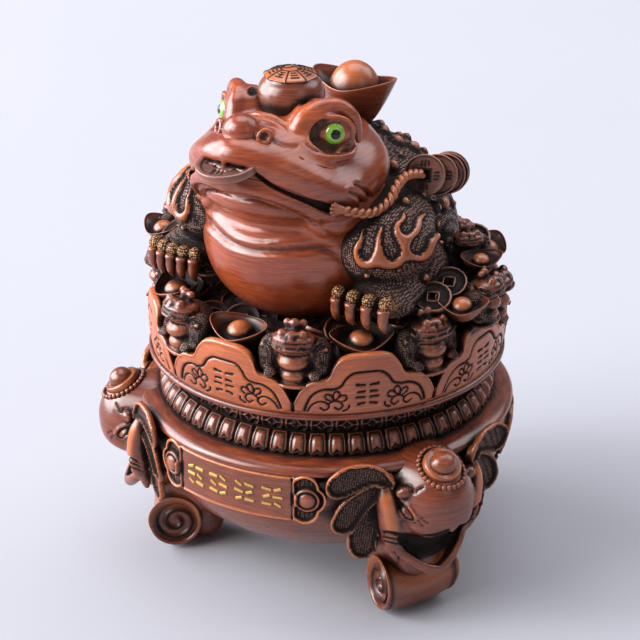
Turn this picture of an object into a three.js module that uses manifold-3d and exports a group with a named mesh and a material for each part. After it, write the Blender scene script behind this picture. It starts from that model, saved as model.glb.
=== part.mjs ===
import * as THREE from "three";
import { mergeVertices } from "three/addons/utils/BufferGeometryUtils.js";
import Module from "manifold-3d";

// A money toad: a cast figure that squats on a round tray of coins, ingots and small toads, and the
// bowl-shaped stand with three elephant heads for feet that the tray rests on.
// Millimetres, +Z up, the front faces -Y. The pieces are built round the stand's axis, and the whole is
// moved at the end so that the origin is on the floor under the middle of its outer box.

// Driving sizes of the stand
const UNDERSIDE_HEIGHT = 28; // floor to the flat underside of the bowl
const UNDERSIDE_RADIUS = 58;
const BOWL_HEIGHT = 62; // underside to the groove below the shoulder
const BOWL_RADIUS = 99; // the bowl where it is widest
const BOWL_SIDES = 36; // flat faces round the bowl
const SHOULDER_HEIGHT = 8; // groove to the foot of the petals
const SHOULDER_PROUD = 1.5; // the shoulder's roll beyond the bowl
const PETAL_COUNT = 56;
const PETAL_HEIGHT = 10;
const PETAL_THICKNESS = 2.6;
const NECK_RADIUS = 82; // the neck behind the coin band
const COIN_COUNT = 40; // coins in the band round the neck
const COIN_THICKNESS = 1.6;
const NECK_HEIGHT = 12.5; // head of the petals to the top of the stand
const PLAQUE_HEIGHT = 25;
const PLAQUE_SPAN = 38; // degrees of the bowl that the straight part takes
const PLAQUE_CAP_SPAN = 9; // degrees of each rounded end
const PLAQUE_PROUD = 2.4; // the front plaque beyond the bowl's side
const SCROLL_PROUD = 1.4; // the two scroll reliefs beyond it

// The elephants that carry the bowl
const ELEPHANT_COUNT = 3;
const JEWEL_SIDES = 10; // sides of the beaded collar round each forehead jewel

// Driving sizes of the tray
const TRAY_GAP = 0.3; // between the stand and the tray that rests on it
const TRAY_TURN = -4; // degrees that the tray sits turned on the stand
const TRAY_RADIUS = 92; // underside of the tray
const TRAY_LIP = 2.4; // plain band below the panels
const WALL_HEIGHT = 33; // from that band to the top of a panel
const WALL_BULGE = 3.5; // the panels' widest reach beyond the tray's underside
const PANEL_COUNT = 8;
const PANEL_THICKNESS = 2.6;
const PILE_RISE = 14; // the heap of coins, from the wall's shoulder to its middle
const SMALL_TOAD_HEIGHT = 32;
const INGOT_LENGTH = 34; // the eight ingots in the heap
const HEAP_COIN_RADIUS = 11;
const HEAP_COIN_THICKNESS = 2.4;

// Driving sizes of the large toad
const TOAD_HEIGHT = 132; // the heap to the top of the medallion
const CROWN_INGOT_LENGTH = 51; // the ingot behind the head
const EYE_DIAMETER = 12; // the glass eyes
const EYE_SIDES = 9; // faces round an eye, and rows from pole to pole
const EYE_ROWS = 6;
const MOUTH_COIN_DIAMETER = 31;
const MOUTH_COIN_THICKNESS = 4;
const COIN_SIDES = 16; // faces round the coin in the mouth
const FIT_CLEARANCE = 0.35; // round the eyes and the coin in the mouth
const TOES = { left: 4, right: 5 };

// Levels worked out from the sizes above
const GROOVE_Z = UNDERSIDE_HEIGHT + BOWL_HEIGHT;
const PETAL_FOOT_Z = GROOVE_Z + SHOULDER_HEIGHT;
const PETAL_HEAD_Z = PETAL_FOOT_Z + PETAL_HEIGHT;
const STAND_TOP_Z = PETAL_HEAD_Z + NECK_HEIGHT;
const PETAL_FOOT_RADIUS = NECK_RADIUS + 5;
const ELEPHANT_HEIGHT = PETAL_FOOT_Z + 2; // sole of the foot to the nape, just above the bowl's shoulder
const TRAY_Z = STAND_TOP_Z + TRAY_GAP;
const WALL_Z = TRAY_Z + TRAY_LIP;
const HEAP_EDGE_Z = WALL_Z + WALL_HEIGHT * 0.66;
const HEAP_RADIUS = TRAY_RADIUS - PANEL_THICKNESS;
const TOAD_SEAT_Z = HEAP_EDGE_Z + PILE_RISE * 0.31; // the toad's own heights are counted from here

const BRONZE_BROWN = { color: 0x6e3320, roughness: 0.42, metalness: 0.25 };
const GLASS_GREEN = { color: 0x8fd014, roughness: 0.06, metalness: 0 };
const OLD_COIN = { color: 0x5a3526, roughness: 0.5, metalness: 0.3 };

const wasm = await Module();
wasm.setup();

const radians = THREE.MathUtils.degToRad;
const tau = Math.PI * 2;

/** A closed geometry as a solid that can be joined and cut. */
function solid(geometry) {
  const bare = new THREE.BufferGeometry();
  bare.setAttribute("position", geometry.getAttribute("position").clone());
  if (geometry.index) bare.setIndex(geometry.index.clone());
  const merged = mergeVertices(bare, 1e-3);
  return new wasm.Manifold(
    new wasm.Mesh({
      numProp: 3,
      vertProperties: new Float32Array(merged.attributes.position.array),
      triVerts: new Uint32Array(merged.index.array),
    }),
  );
}

/** Joins solids two by two, which keeps every join small. */
function join(solids) {
  let round = solids;
  while (round.length > 1) {
    const next = [];
    for (let i = 0; i < round.length; i += 2) {
      next.push(i + 1 < round.length ? round[i].add(round[i + 1]) : round[i]);
    }
    round = next;
  }
  return round[0];
}

/** The solid as a geometry with flat faces. */
function geometryOf(shape) {
  const mesh = shape.getMesh();
  const positions = new Float32Array(mesh.numVert * 3);
  for (let i = 0; i < mesh.numVert; i++) {
    positions.set(mesh.vertProperties.subarray(i * mesh.numProp, i * mesh.numProp + 3), i * 3);
  }
  const geometry = new THREE.BufferGeometry();
  geometry.setAttribute("position", new THREE.BufferAttribute(positions, 3));
  geometry.setIndex(new THREE.BufferAttribute(new Uint32Array(mesh.triVerts), 1));
  const faceted = geometry.toNonIndexed();
  faceted.computeVertexNormals();
  return faceted;
}

/** A placing: first turned, in degrees about X, Y and Z, then moved. */
function at(x, y, z, turn = [0, 0, 0]) {
  const euler = new THREE.Euler(...turn.map(radians), "XYZ");
  return new THREE.Matrix4().makeRotationFromEuler(euler).setPosition(x, y, z);
}

/** A solid moved by a matrix; a mirrored one is turned right side out by the library. */
function moved(shape, matrix) {
  return shape.transform(matrix.elements);
}

/** An ellipsoid that counts as one lump of a modelled form. */
function lump(x, y, z, rx, ry, rz, turn = [0, 0, 0]) {
  const inverse = at(x, y, z, turn).invert();
  return { centre: [x, y, z], radii: [rx, ry, rz], turn, inverse };
}

const probe = new THREE.Vector3();

/** Rough distance from a point to a lump's surface, below zero inside it. */
function lumpDistance(point, { inverse, radii }) {
  probe.copy(point).applyMatrix4(inverse);
  const [rx, ry, rz] = radii;
  const reach = Math.hypot(probe.x / rx, probe.y / ry, probe.z / rz);
  const slope = Math.hypot(probe.x / rx ** 2, probe.y / ry ** 2, probe.z / rz ** 2);
  return slope < 1e-9 ? -Math.min(rx, ry, rz) : (reach * (reach - 1)) / slope;
}

/** Distance to the surface where lumps run into each other within the blend width. */
function blendedDistance(point, lumps, blend) {
  let distance = Infinity;
  for (const one of lumps) {
    const next = lumpDistance(point, one);
    const overlap = Math.max(blend - Math.abs(distance - next), 0) / blend;
    distance = Math.min(distance, next) - (Number.isFinite(distance) ? (overlap ** 2 * blend) / 4 : 0);
  }
  return distance;
}

/** A closed skin: a ball's points are pushed out from a centre to the blended surface of the lumps. */
function skin(centre, lumps, { blend, around, down, reach }) {
  const geometry = new THREE.SphereGeometry(1, around, down).rotateX(Math.PI / 2);
  const points = geometry.getAttribute("position");
  const direction = new THREE.Vector3();
  const point = new THREE.Vector3();
  const middle = new THREE.Vector3(...centre);
  for (let i = 0; i < points.count; i++) {
    direction.fromBufferAttribute(points, i).normalize();
    let inside = 0;
    let outside = reach;
    const step = reach / 60;
    for (let t = reach; t > 0; t -= step) {
      point.copy(middle).addScaledVector(direction, t);
      if (blendedDistance(point, lumps, blend) < 0) {
        inside = t;
        outside = t + step;
        break;
      }
    }
    for (let k = 0; k < 14; k++) {
      const t = (inside + outside) / 2;
      point.copy(middle).addScaledVector(direction, t);
      if (blendedDistance(point, lumps, blend) < 0) inside = t;
      else outside = t;
    }
    point.copy(middle).addScaledVector(direction, inside);
    points.setXYZ(i, point.x, point.y, point.z);
  }
  return solid(geometry);
}

/** One plain ellipsoid with few faces. */
function ball(x, y, z, rx, ry, rz, turn = [0, 0, 0], around = 8, down = 5) {
  const geometry = new THREE.SphereGeometry(1, around, down).rotateX(Math.PI / 2);
  geometry.applyMatrix4(new THREE.Matrix4().makeScale(rx, ry, rz)).applyMatrix4(at(x, y, z, turn));
  return solid(geometry);
}

/** A small round bump, for warts and knuckles. */
function bump(x, y, z, radius) {
  return solid(new THREE.IcosahedronGeometry(radius, 0).translate(x, y, z));
}

/** The plainest bump, for beads and for the small toads' eyes and hands. */
function bead(x, y, z, radius) {
  return solid(new THREE.OctahedronGeometry(radius, 0).translate(x, y, z));
}

/** A turned form: the profile's points are [radius, height], from the axis round to the axis. */
function turned(profile, around) {
  const points = profile.map(([r, z]) => new THREE.Vector2(r, z));
  return solid(new THREE.LatheGeometry(points, around).rotateX(Math.PI / 2));
}

/** A closed skin over rings with the same number of points, capped by a fan at each end. */
function lofted(rings) {
  const count = rings[0].length;
  const corners = rings.flat();
  const middleOf = (ring) => ring[0].map((_, k) => ring.reduce((sum, p) => sum + p[k], 0) / count);
  corners.push(middleOf(rings[0]), middleOf(rings[rings.length - 1]));
  const faces = [];
  for (let row = 0; row + 1 < rings.length; row++) {
    for (let i = 0; i < count; i++) {
      const a = row * count + i;
      const b = row * count + ((i + 1) % count);
      faces.push(a, b, b + count, a, b + count, a + count);
    }
  }
  const last = (rings.length - 1) * count;
  for (let i = 0; i < count; i++) {
    const j = (i + 1) % count;
    faces.push(corners.length - 2, j, i, corners.length - 1, last + i, last + j);
  }
  const geometry = new THREE.BufferGeometry();
  geometry.setAttribute("position", new THREE.Float32BufferAttribute(corners.flat(), 3));
  geometry.setIndex(faces);
  return solid(geometry);
}

/** Points round a ring, each worked out from the cosine and sine of its angle. */
function ringOf(count, pointAt) {
  return Array.from({ length: count }, (_, i) => {
    const angle = (i * tau) / count;
    return pointAt(Math.cos(angle), Math.sin(angle));
  });
}

/** A plate bent round the axis: for each step along it, its foot, its head and its two radii. */
function bentPlate(steps) {
  const ring = ({ angle, foot, head, inner, outerFoot, outerHead }) => {
    const point = (radius, z) => [radius * Math.sin(angle), -radius * Math.cos(angle), z];
    return [point(inner, foot), point(inner, head), point(outerHead, head), point(outerFoot, foot)];
  };
  return lofted(steps.map(ring));
}

/** A bar or cord of round section along a smooth line through the given points. */
function cordAlong(points, radius, sides, steps) {
  const line = new THREE.CatmullRomCurve3(points.map((p) => new THREE.Vector3(...p)));
  const corners = ringOf(sides, (cos, sin) => new THREE.Vector2(radius * cos, radius * sin));
  const section = new THREE.Shape(corners);
  return solid(new THREE.ExtrudeGeometry(section, { steps, extrudePath: line }));
}

/** A coin: a plain disc, lying flat before it is placed. */
function coin(radius, thickness, matrix, sides = 10) {
  const geometry = new THREE.CylinderGeometry(radius, radius, thickness, sides).rotateX(Math.PI / 2);
  return solid(geometry.applyMatrix4(matrix));
}

/** A boat-shaped ingot along X: hull, raised tips and the dome in its middle. */
function ingot(length, sides, matrix) {
  const width = length * 0.54;
  const rimHeight = length * 0.36;
  const tipLift = length * 0.15;
  const ringAt = (share, height, lift) =>
    Array.from({ length: sides }, (_, i) => {
      const a = (i * tau) / sides;
      const x = (share * Math.cos(a) * length) / 2;
      return [x, (share * Math.sin(a) * width) / 2, height + lift * Math.cos(a) ** 4];
    });
  const hull = lofted([
    ringAt(0.5, 0, 0),
    ringAt(0.8, rimHeight * 0.55, tipLift * 0.3),
    ringAt(1, rimHeight, tipLift),
    ringAt(0.6, rimHeight * 0.8, 0),
  ]);
  const r = length * 0.21;
  const dome = ball(0, 0, rimHeight * 1.28, r, r, r, [0, 0, 0], sides - 1, 4);
  return moved(join([hull, dome]), matrix);
}

/** Radius of the bowl's side at a height. */
function bowlRadiusAt(z) {
  const share = THREE.MathUtils.clamp((z - UNDERSIDE_HEIGHT) / BOWL_HEIGHT, 0, 1);
  const fullness = Math.sin((Math.min(share / 0.82, 1) * Math.PI) / 2) ** 0.72;
  const tuck = Math.max(share - 0.82, 0) * 8;
  return UNDERSIDE_RADIUS + (BOWL_RADIUS - UNDERSIDE_RADIUS) * fullness - tuck;
}

/** The bowl with its groove and its rolled shoulder. */
function bowl() {
  const profile = [[0, UNDERSIDE_HEIGHT]];
  for (const share of [0, 0.14, 0.4, 0.72, 1]) {
    const z = UNDERSIDE_HEIGHT + BOWL_HEIGHT * share;
    profile.push([bowlRadiusAt(z), z]);
  }
  profile.push([BOWL_RADIUS + SHOULDER_PROUD, GROOVE_Z + SHOULDER_HEIGHT * 0.3]);
  profile.push([BOWL_RADIUS - 4, PETAL_FOOT_Z], [0, PETAL_FOOT_Z]);
  return turned(profile, BOWL_SIDES);
}

/** A drum whose edge steps in and out once for each of its parts: rings of [radius, step, height]. */
function steppedDrum(parts, rings) {
  const count = parts * 2;
  const ringAt = ([radius, step, z]) =>
    Array.from({ length: count }, (_, i) => {
      const r = radius + (i % 2) * step;
      const a = (i * tau) / count;
      return [r * Math.sin(a), -r * Math.cos(a), z];
    });
  return lofted(rings.map(ringAt));
}

/** The lotus petals at the foot of the neck, a ridge to each. */
function petals() {
  const dip = -PETAL_THICKNESS * 0.8;
  return steppedDrum(PETAL_COUNT, [
    [PETAL_FOOT_RADIUS + PETAL_THICKNESS, dip, PETAL_FOOT_Z - 1],
    [NECK_RADIUS + PETAL_THICKNESS, dip, PETAL_HEAD_Z],
  ]);
}

/** The neck with its band of coins, each a low boss. */
function neck() {
  return steppedDrum(COIN_COUNT, [
    [NECK_RADIUS, 0, PETAL_HEAD_Z - 1],
    [NECK_RADIUS, COIN_THICKNESS, PETAL_HEAD_Z + NECK_HEIGHT * 0.45],
    [NECK_RADIUS, 0, STAND_TOP_Z],
  ]);
}

/** A plate bent round the bowl's side, with a lobed end and a boss at each side. */
function plaque(middle, proud) {
  const top = GROOVE_Z + 0.6;
  const half = PLAQUE_SPAN / 2;
  const step = (degrees, inset) => {
    const foot = top - PLAQUE_HEIGHT * (1 - inset);
    return {
      angle: radians(middle + degrees),
      foot,
      head: top - PLAQUE_HEIGHT * inset,
      inner: bowlRadiusAt(top - PLAQUE_HEIGHT) - 4,
      outerFoot: bowlRadiusAt(foot) + proud,
      outerHead: BOWL_RADIUS + proud,
    };
  };
  // The straight field, then the lobed end: how far along it, and how far its edges draw in.
  const end = [
    [0, -0.04],
    [0.4, 0],
    [0.62, 0.2],
    [1, 0.36],
  ].map(([share, inset]) => [half + share * PLAQUE_CAP_SPAN, inset]);
  const right = [[half / 3, 0], [half - 0.6, 0], ...end];
  const left = right.map(([degrees, inset]) => [-degrees, inset]).reverse();
  const boss = (sign) => {
    const angle = radians(middle + sign * (half + PLAQUE_CAP_SPAN * 0.42));
    const radius = BOWL_RADIUS + proud - 1;
    return bump(radius * Math.sin(angle), -radius * Math.cos(angle), top - PLAQUE_HEIGHT / 2, 3.6);
  };
  return [bentPlate([...left, ...right].map((one) => step(...one))), boss(-1), boss(1)];
}

// An elephant's forms are given in hundredths of its height, their reach counted from the bowl's side.
const ELEPHANT_UNIT = ELEPHANT_HEIGHT / 100;

/** One elephant head that serves as a foot, facing +X with the stand's axis at X = 0. */
function elephant() {
  const unit = ELEPHANT_UNIT;
  const out = BOWL_RADIUS;
  const form = ([x, y, z, rx, ry, rz, turn]) =>
    lump(out + x * unit, y * unit, z * unit, rx * unit, ry * unit, rz * unit, turn);
  const twin = ([x, y, ...rest]) => [form([x, y, ...rest]), form([x, -y, ...rest])];
  // Skull, nape and muzzle, then cheeks, tusks in their sheaths, eyes and brows on both sides.
  const head = skin(
    [out, 0, 66 * unit],
    [
      ...[
        [4, 0, 74, 22, 20, 23],
        [-10, 0, 80, 20, 20, 19],
        [8, 0, 64, 12, 16, 10],
      ].map(form),
      ...[
        [-4, 14, 60, 12, 10, 17],
        [4, 18, 55, 7, 6.5, 20],
        [15, 12, 67, 5, 5, 4.5],
        [16, 10, 79, 5, 5.5, 4],
      ].flatMap(twin),
    ],
    { blend: 3.5 * unit, around: 12, down: 8, reach: 45 * unit },
  );
  // The trunk narrows to a tongue under the face and meets the rolled-up foot.
  const trunk = [
    [-3, 30, 10, 8],
    [-1, 42, 9, 9],
    [1, 60, 10, 13],
  ].map(([x, z, thick, wide]) =>
    ringOf(5, (cos, sin) => [out + (x + thick * cos) * unit, wide * sin * unit, z * unit]),
  );
  // The roll is slimmer and lifted at its two ends, and flat where it stands.
  const roll = [
    [-18, 13.5, 20],
    [-9, 17, 15.9],
    [9, 17, 15.9],
    [18, 13.5, 20],
  ].map(([y, radius, z]) =>
    ringOf(9, (cos, sin) => [
      out + (-14 + radius * sin) * unit,
      y * unit,
      Math.max(0, (z + radius * cos) * unit),
    ]),
  );
  const heel = ball(out - 25 * unit, 0, 13 * unit, 17 * unit, 16 * unit, 13 * unit, [0, 0, 0], 6, 4);
  // The forehead jewel on its beaded collar, tilted up and outwards.
  const tilted = at(out + 11 * unit, 0, 90.5 * unit, [0, 35, 0]);
  const jewel = moved(ball(0, 0, 2.5 * unit, 7 * unit, 7 * unit, 7 * unit, [0, 0, 0], 7, 4), tilted);
  const collar = coin(14 * unit, 5 * unit, tilted, JEWEL_SIDES);
  return join([head, lofted(trunk), lofted(roll), heel, jewel, collar, ear(1), ear(-1)]);
}

/** An elephant's ear: a fan of three lobes from the side of the head, thick enough to reach the bowl. */
function ear(sign) {
  const unit = ELEPHANT_UNIT;
  const lobes = 3;
  const samples = 7;
  const outline = [new THREE.Vector2(-6 * unit, 4 * unit)];
  for (let i = 0; i <= samples; i++) {
    const share = i / samples;
    const direction = radians(32 - share * 128);
    const scallop = 0.84 + 0.18 * Math.abs(Math.sin(share * lobes * Math.PI));
    const reach = (36 + 12 * share) * scallop * unit;
    outline.push(new THREE.Vector2(Math.cos(direction) * reach, Math.sin(direction) * reach));
  }
  outline.reverse();
  const thickness = 9 * unit;
  const fan = new THREE.Shape(outline);
  const plate = new THREE.ExtrudeGeometry(fan, { depth: thickness, bevelEnabled: false });
  const across = new THREE.Vector3(-0.42, 0.9, -0.05).normalize();
  const upwards = new THREE.Vector3(0.1, 0.05, 0.99).normalize();
  const outwards = new THREE.Vector3().crossVectors(across, upwards).normalize();
  upwards.crossVectors(outwards, across);
  const spread = new THREE.Matrix4().makeBasis(across, upwards, outwards);
  spread.setPosition(BOWL_RADIUS - 4 * unit, 15.7 * unit, 88 * unit);
  return moved(solid(plate.applyMatrix4(spread)), new THREE.Matrix4().makeScale(1, sign, 1));
}

/** The stand in one casting. */
function stand() {
  const pieces = [bowl(), petals(), neck()];
  for (let i = 0; i < ELEPHANT_COUNT; i++) {
    const middle = (i * 360) / ELEPHANT_COUNT;
    const towards = middle + 180 / ELEPHANT_COUNT - 90;
    const proud = i === 0 ? PLAQUE_PROUD : SCROLL_PROUD;
    pieces.push(...plaque(middle, proud), moved(elephant(), at(0, 0, 0, [0, 0, towards])));
  }
  return join(pieces);
}

/** Height of a panel's cloud-shaped top edge, as a share, at a share of its half width. */
function cloudEdge(share) {
  const wing = THREE.MathUtils.smoothstep(1 - share, 0, 0.24);
  const crown = THREE.MathUtils.smoothstep(1 - share, 0.36, 0.52);
  return 0.16 + 0.2 * wing + 0.58 * crown + 0.06 * (1 - share);
}

/** Radius of the tray's wall at a height. */
function wallRadiusAt(z) {
  const share = THREE.MathUtils.clamp((z - WALL_Z) / WALL_HEIGHT, 0, 1);
  return TRAY_RADIUS + WALL_BULGE * Math.sin(share * 0.8 * Math.PI) ** 0.8;
}

/** The tray: a wall of cloud-shaped panels round a heap, with a recess between each two of them. */
function tray() {
  const shares = [-1, -0.7, -0.5, 0, 0.5, 0.7];
  const half = 180 / PANEL_COUNT;
  const ringAt = (place) =>
    Array.from({ length: PANEL_COUNT }, (_, i) => i).flatMap((i) =>
      shares.map((share) => {
        const angle = radians((i * 360) / PANEL_COUNT + share * half);
        const [radius, z] = place(WALL_Z + WALL_HEIGHT * cloudEdge(Math.abs(share)));
        return [radius * Math.sin(angle), -radius * Math.cos(angle), z];
      }),
    );
  return lofted([
    ringAt(() => [TRAY_RADIUS, TRAY_Z]),
    ringAt(() => [TRAY_RADIUS + 0.6, WALL_Z]),
    ringAt((head) => [wallRadiusAt(head) + 0.6, head]),
    ringAt((head) => [wallRadiusAt(head) - PANEL_THICKNESS, head]),
    ringAt(() => [HEAP_RADIUS, HEAP_EDGE_Z]),
    ringAt(() => [HEAP_RADIUS * 0.5, HEAP_EDGE_Z + PILE_RISE]),
  ]);
}

/** A small toad squatting on the rim, facing -Y, counted in shares of its height. */
function smallToad() {
  const h = SMALL_TOAD_HEIGHT;
  const twin = (x, y, z, ...radii) => [
    [x, y, z, ...radii],
    [-x, y, z, ...radii],
  ];
  const lumps = [
    [0, 0.1, 0.42, 0.5, 0.46, 0.42],
    [0, -0.24, 0.3, 0.3, 0.34, 0.32],
    [0, -0.24, 0.68, 0.4, 0.38, 0.2],
    [0, -0.16, 0.9, 0.13, 0.15, 0.16],
    ...twin(0.44, -0.16, 0.3, 0.14, 0.26, 0.32),
    ...twin(0.25, -0.26, 0.84, 0.13, 0.14, 0.13),
  ].map((row) => lump(...row.map((n) => n * h)));
  return skin([0, -0.08 * h, 0.45 * h], lumps, { blend: 0.08 * h, around: 9, down: 6, reach: h });
}

/** What lies on the tray: ingots behind the panels, small toads between them, and loose coins. */
function treasure() {
  const made = [];
  const pitch = 360 / PANEL_COUNT;
  for (let i = 0; i < PANEL_COUNT; i++) {
    const spin = at(0, 0, 0, [0, 0, i * pitch]);
    made.push(ingot(INGOT_LENGTH, 6, spin.multiply(at(0, -HEAP_RADIUS * 0.89, HEAP_EDGE_Z - 1))));
    const between = at(0, 0, 0, [0, 0, (i + 0.5) * pitch]);
    const seat = at(0, -TRAY_RADIUS * 0.89, WALL_Z + WALL_HEIGHT * 0.36);
    made.push(moved(smallToad(), between.multiply(seat)));
  }
  const heapCoins = 5;
  for (let i = 0; i < heapCoins; i++) {
    const spin = at(0, 0, 0, [0, 0, (i * 360) / heapCoins + 9]);
    const tilt = [18 + 10 * Math.sin(i * 2.4), 9 * Math.cos(i * 1.7), 0];
    const place = spin.multiply(at(0, -HEAP_RADIUS * 0.72, HEAP_EDGE_Z + PILE_RISE * 0.55, tilt));
    made.push(coin(HEAP_COIN_RADIUS, HEAP_COIN_THICKNESS, place, 7));
  }
  return made;
}

// The toad's own forms are given in shares of its height: 132 units from seat to crown.
const TOAD_UNIT = TOAD_HEIGHT / 132;

/** Lumps from rows of [x, y, z, rx, ry, rz, turn] in toad units; left and right twins share a row. */
function toadLumps(rows) {
  return rows.flatMap(([x, y, z, rx, ry, rz, turn = [0, 0, 0]]) => {
    const size = [rx, ry, rz].map((n) => n * TOAD_UNIT);
    const place = (sign) => [sign * x, y, z].map((n) => n * TOAD_UNIT);
    const make = (sign) => lump(...place(sign), ...size, [turn[0], sign * turn[1], sign * turn[2]]);
    return x === 0 ? [make(1)] : [make(1), make(-1)];
  });
}

const EYE_PLACE = [32.5, -44, 108];
const CORNER_OF_MOUTH = [40, -40, 66];
const BARREL_PLACE = [0, -33];

/** The smooth head: skull, cheeks, muzzle, nose, brows, and the barrel with its medallion. */
function toadHead() {
  const u = TOAD_UNIT;
  const head = skin(
    [0, -38 * u, 92 * u],
    toadLumps([
      [0, -28, 91, 40, 40, 19],
      [28, -29, 79, 21, 29, 19],
      [37, -36, 71, 12, 16, 11],
      [0, -58, 95, 31, 33, 12, [-8, 0, 0]],
      [28, -38, 104, 15, 17, 11],
      [0, -50, 102, 15, 24, 9],
    ]),
    { blend: 7 * u, around: 15, down: 9, reach: 75 * u },
  );
  const jaw = ball(0, -43 * u, 78 * u, 47 * u, 51 * u, 12 * u, [-26, 0, 0], 11, 5);
  const barrel = [
    [0, 100],
    [12.5, 102],
    [16, 114],
    [13.6, 127],
    [9, 131],
    [0, 132],
  ].map(([r, z]) => [r * u, z * u]);
  const [barrelX, barrelY] = BARREL_PLACE;
  const pieces = [head, jaw, moved(turned(barrel, 9), at(barrelX * u, barrelY * u, 0))];
  pieces.push(ball(0, -75 * u, 111 * u, 9.5 * u, 9.5 * u, 9 * u));
  for (const sign of [1, -1]) {
    pieces.push(bead(sign * 13 * u, -74 * u, 109.5 * u, 6 * u));
    const brow = [
      [9, -60, 106],
      [19, -50, 114],
      [28, -38, 117.5],
      [37, -30, 113],
      [41, -28, 102],
    ].map(([x, y, z]) => [sign * x * u, y * u, z * u]);
    pieces.push(cordAlong(brow, 5.4 * u, 4, 4));
  }
  pieces.push(ingot(CROWN_INGOT_LENGTH, 8, at(0, -BARREL_PLACE[1] * u * 0.8, 86 * u, [6, 0, 0])));
  return pieces;
}

/** The throat that swells under the jaw and the smooth belly below it. */
function toadBelly() {
  const u = TOAD_UNIT;
  return [
    ball(0, -31 * u, 69 * u, 45 * u, 50 * u, 20 * u, [-8, 0, 0], 11, 5),
    ball(0, -26 * u, 58 * u, 48 * u, 50 * u, 10 * u, [-6, 0, 0], 11, 4),
    ball(0, -18 * u, 41 * u, 52 * u, 56 * u, 44 * u, [0, 0, 0], 13, 7),
  ];
}

/** The warty back, the single hind leg tucked under it, and the warts. */
function toadBack() {
  const u = TOAD_UNIT;
  const back = skin(
    [0, 14 * u, 42 * u],
    toadLumps([
      [0, 14, 44, 58, 58, 40],
      [0, 0, 62, 40, 40, 26],
      [42, 14, 40, 27, 34, 29],
      [0, 58, 14, 16, 18, 16],
    ]),
    { blend: 9 * u, around: 12, down: 7, reach: 95 * u },
  );
  const pieces = [back];
  const rows = 3;
  for (let row = 0; row < rows; row++) {
    const count = 2 + row;
    for (let i = 0; i < count; i++) {
      const turn = radians(-60 + (120 * (i + 0.5)) / count);
      const slope = radians(56 - row * 22);
      const point = new THREE.Vector3(
        Math.sin(turn) * Math.cos(slope) * 58,
        14 + Math.cos(turn) * Math.cos(slope) * 58,
        44 + Math.sin(slope) * 40,
      ).multiplyScalar(u);
      pieces.push(bead(point.x, point.y, point.z, 6 * u));
    }
  }
  return pieces;
}

/** A front leg: shoulder, forearm, and toes that rest on an ingot. */
function toadArm(sign, toes) {
  const u = TOAD_UNIT;
  const arm = skin(
    [sign * 54 * u, -22 * u, 42 * u],
    [
      [49, -24, 49, 26, 29, 28],
      [66, -8, 28, 16, 20, 15],
      [66, -34, 27, 13, 24, 11],
      [57, -48, 27, 20, 12, 9],
    ].map(([x, y, z, ...r]) => lump(sign * x * u, y * u, z * u, ...r.map((n) => n * u))),
    { blend: 6 * u, around: 9, down: 6, reach: 60 * u },
  );
  const pieces = [arm];
  for (let i = 0; i < toes; i++) {
    const x = sign * (43 + (27 * i) / (toes - 1)) * u;
    const y = -(57.5 - 0.9 * (i - 1.5) ** 2) * u;
    pieces.push(bead(x, y, 30 * u, 6.4 * u));
    const claw = new THREE.ConeGeometry(3.2 * u, 15 * u, 4).rotateX(-Math.PI / 2 - 1.05);
    pieces.push(solid(claw.translate(x, y - 5 * u, 23.5 * u)));
  }
  return pieces;
}

/** The cord from the corner of the mouth and the string of coins that it holds along the flank. */
function coinString(sign) {
  const u = TOAD_UNIT;
  const coins = { count: 4, first: [57, 3, 73.4], pitch: 6.6, radius: 11.7, thickness: 3.4 };
  const [x, y, z] = coins.first;
  const end = [x, y + coins.pitch * coins.count, z - 1];
  const line = [CORNER_OF_MOUTH, [45, -30, 62], [52, -14, 68], coins.first, end];
  const cord = line.map((point) => [sign * point[0] * u, point[1] * u, point[2] * u]);
  const pieces = [cordAlong(cord, 2.6 * u, 3, 4)];
  for (let i = 0; i < coins.count; i++) {
    const tilt = [82 - 5 * i, sign * 4 * i, 0];
    const place = at(sign * x * u, (y + coins.pitch * i) * u, (z - 0.4 * i) * u, tilt);
    pieces.push(coin(coins.radius * u, coins.thickness * u, place, 7));
  }
  return pieces;
}

/** Place of the coin in the mouth: held between the lips, its outer edge a little low. */
function mouthCoinPlace() {
  const u = TOAD_UNIT;
  return at(0, -89 * u, 95.5 * u, [4, 0, 0]);
}

/** The toad, the heap and the tray in one casting, with room for the eyes and the coin. */
function toadOnTray() {
  const u = TOAD_UNIT;
  const toad = [
    ...toadHead(),
    ...toadBelly(),
    ...toadBack(),
    ...toadArm(1, TOES.left),
    ...toadArm(-1, TOES.right),
    ...coinString(1),
    ...coinString(-1),
  ];
  const seated = moved(join(toad), at(0, 0, TOAD_SEAT_Z));
  const whole = join([tray(), ...treasure(), seated]);
  const eyeRoom = [1, -1].map((sign) => {
    const [x, y, z] = EYE_PLACE;
    const r = EYE_DIAMETER / 2 + FIT_CLEARANCE;
    return ball(sign * x * u, y * u, z * u + TOAD_SEAT_Z, r, r, r, [0, 0, 0], EYE_SIDES, EYE_ROWS);
  });
  const slot = coin(
    MOUTH_COIN_DIAMETER / 2 + FIT_CLEARANCE,
    MOUTH_COIN_THICKNESS + 2 * FIT_CLEARANCE,
    at(0, 0, TOAD_SEAT_Z).multiply(mouthCoinPlace()),
    COIN_SIDES,
  );
  return whole.subtract(join([...eyeRoom, slot]));
}

/** A named mesh of one material. */
function piece(name, shape, look) {
  const mesh = new THREE.Mesh(geometryOf(shape), new THREE.MeshStandardMaterial(look));
  mesh.name = name;
  return mesh;
}

const moneyToad = new THREE.Group();
moneyToad.add(piece("elephant_stand", stand(), BRONZE_BROWN));

const upper = new THREE.Group();
upper.rotation.z = radians(TRAY_TURN);
upper.add(piece("toad_on_tray", toadOnTray(), BRONZE_BROWN));

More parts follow.
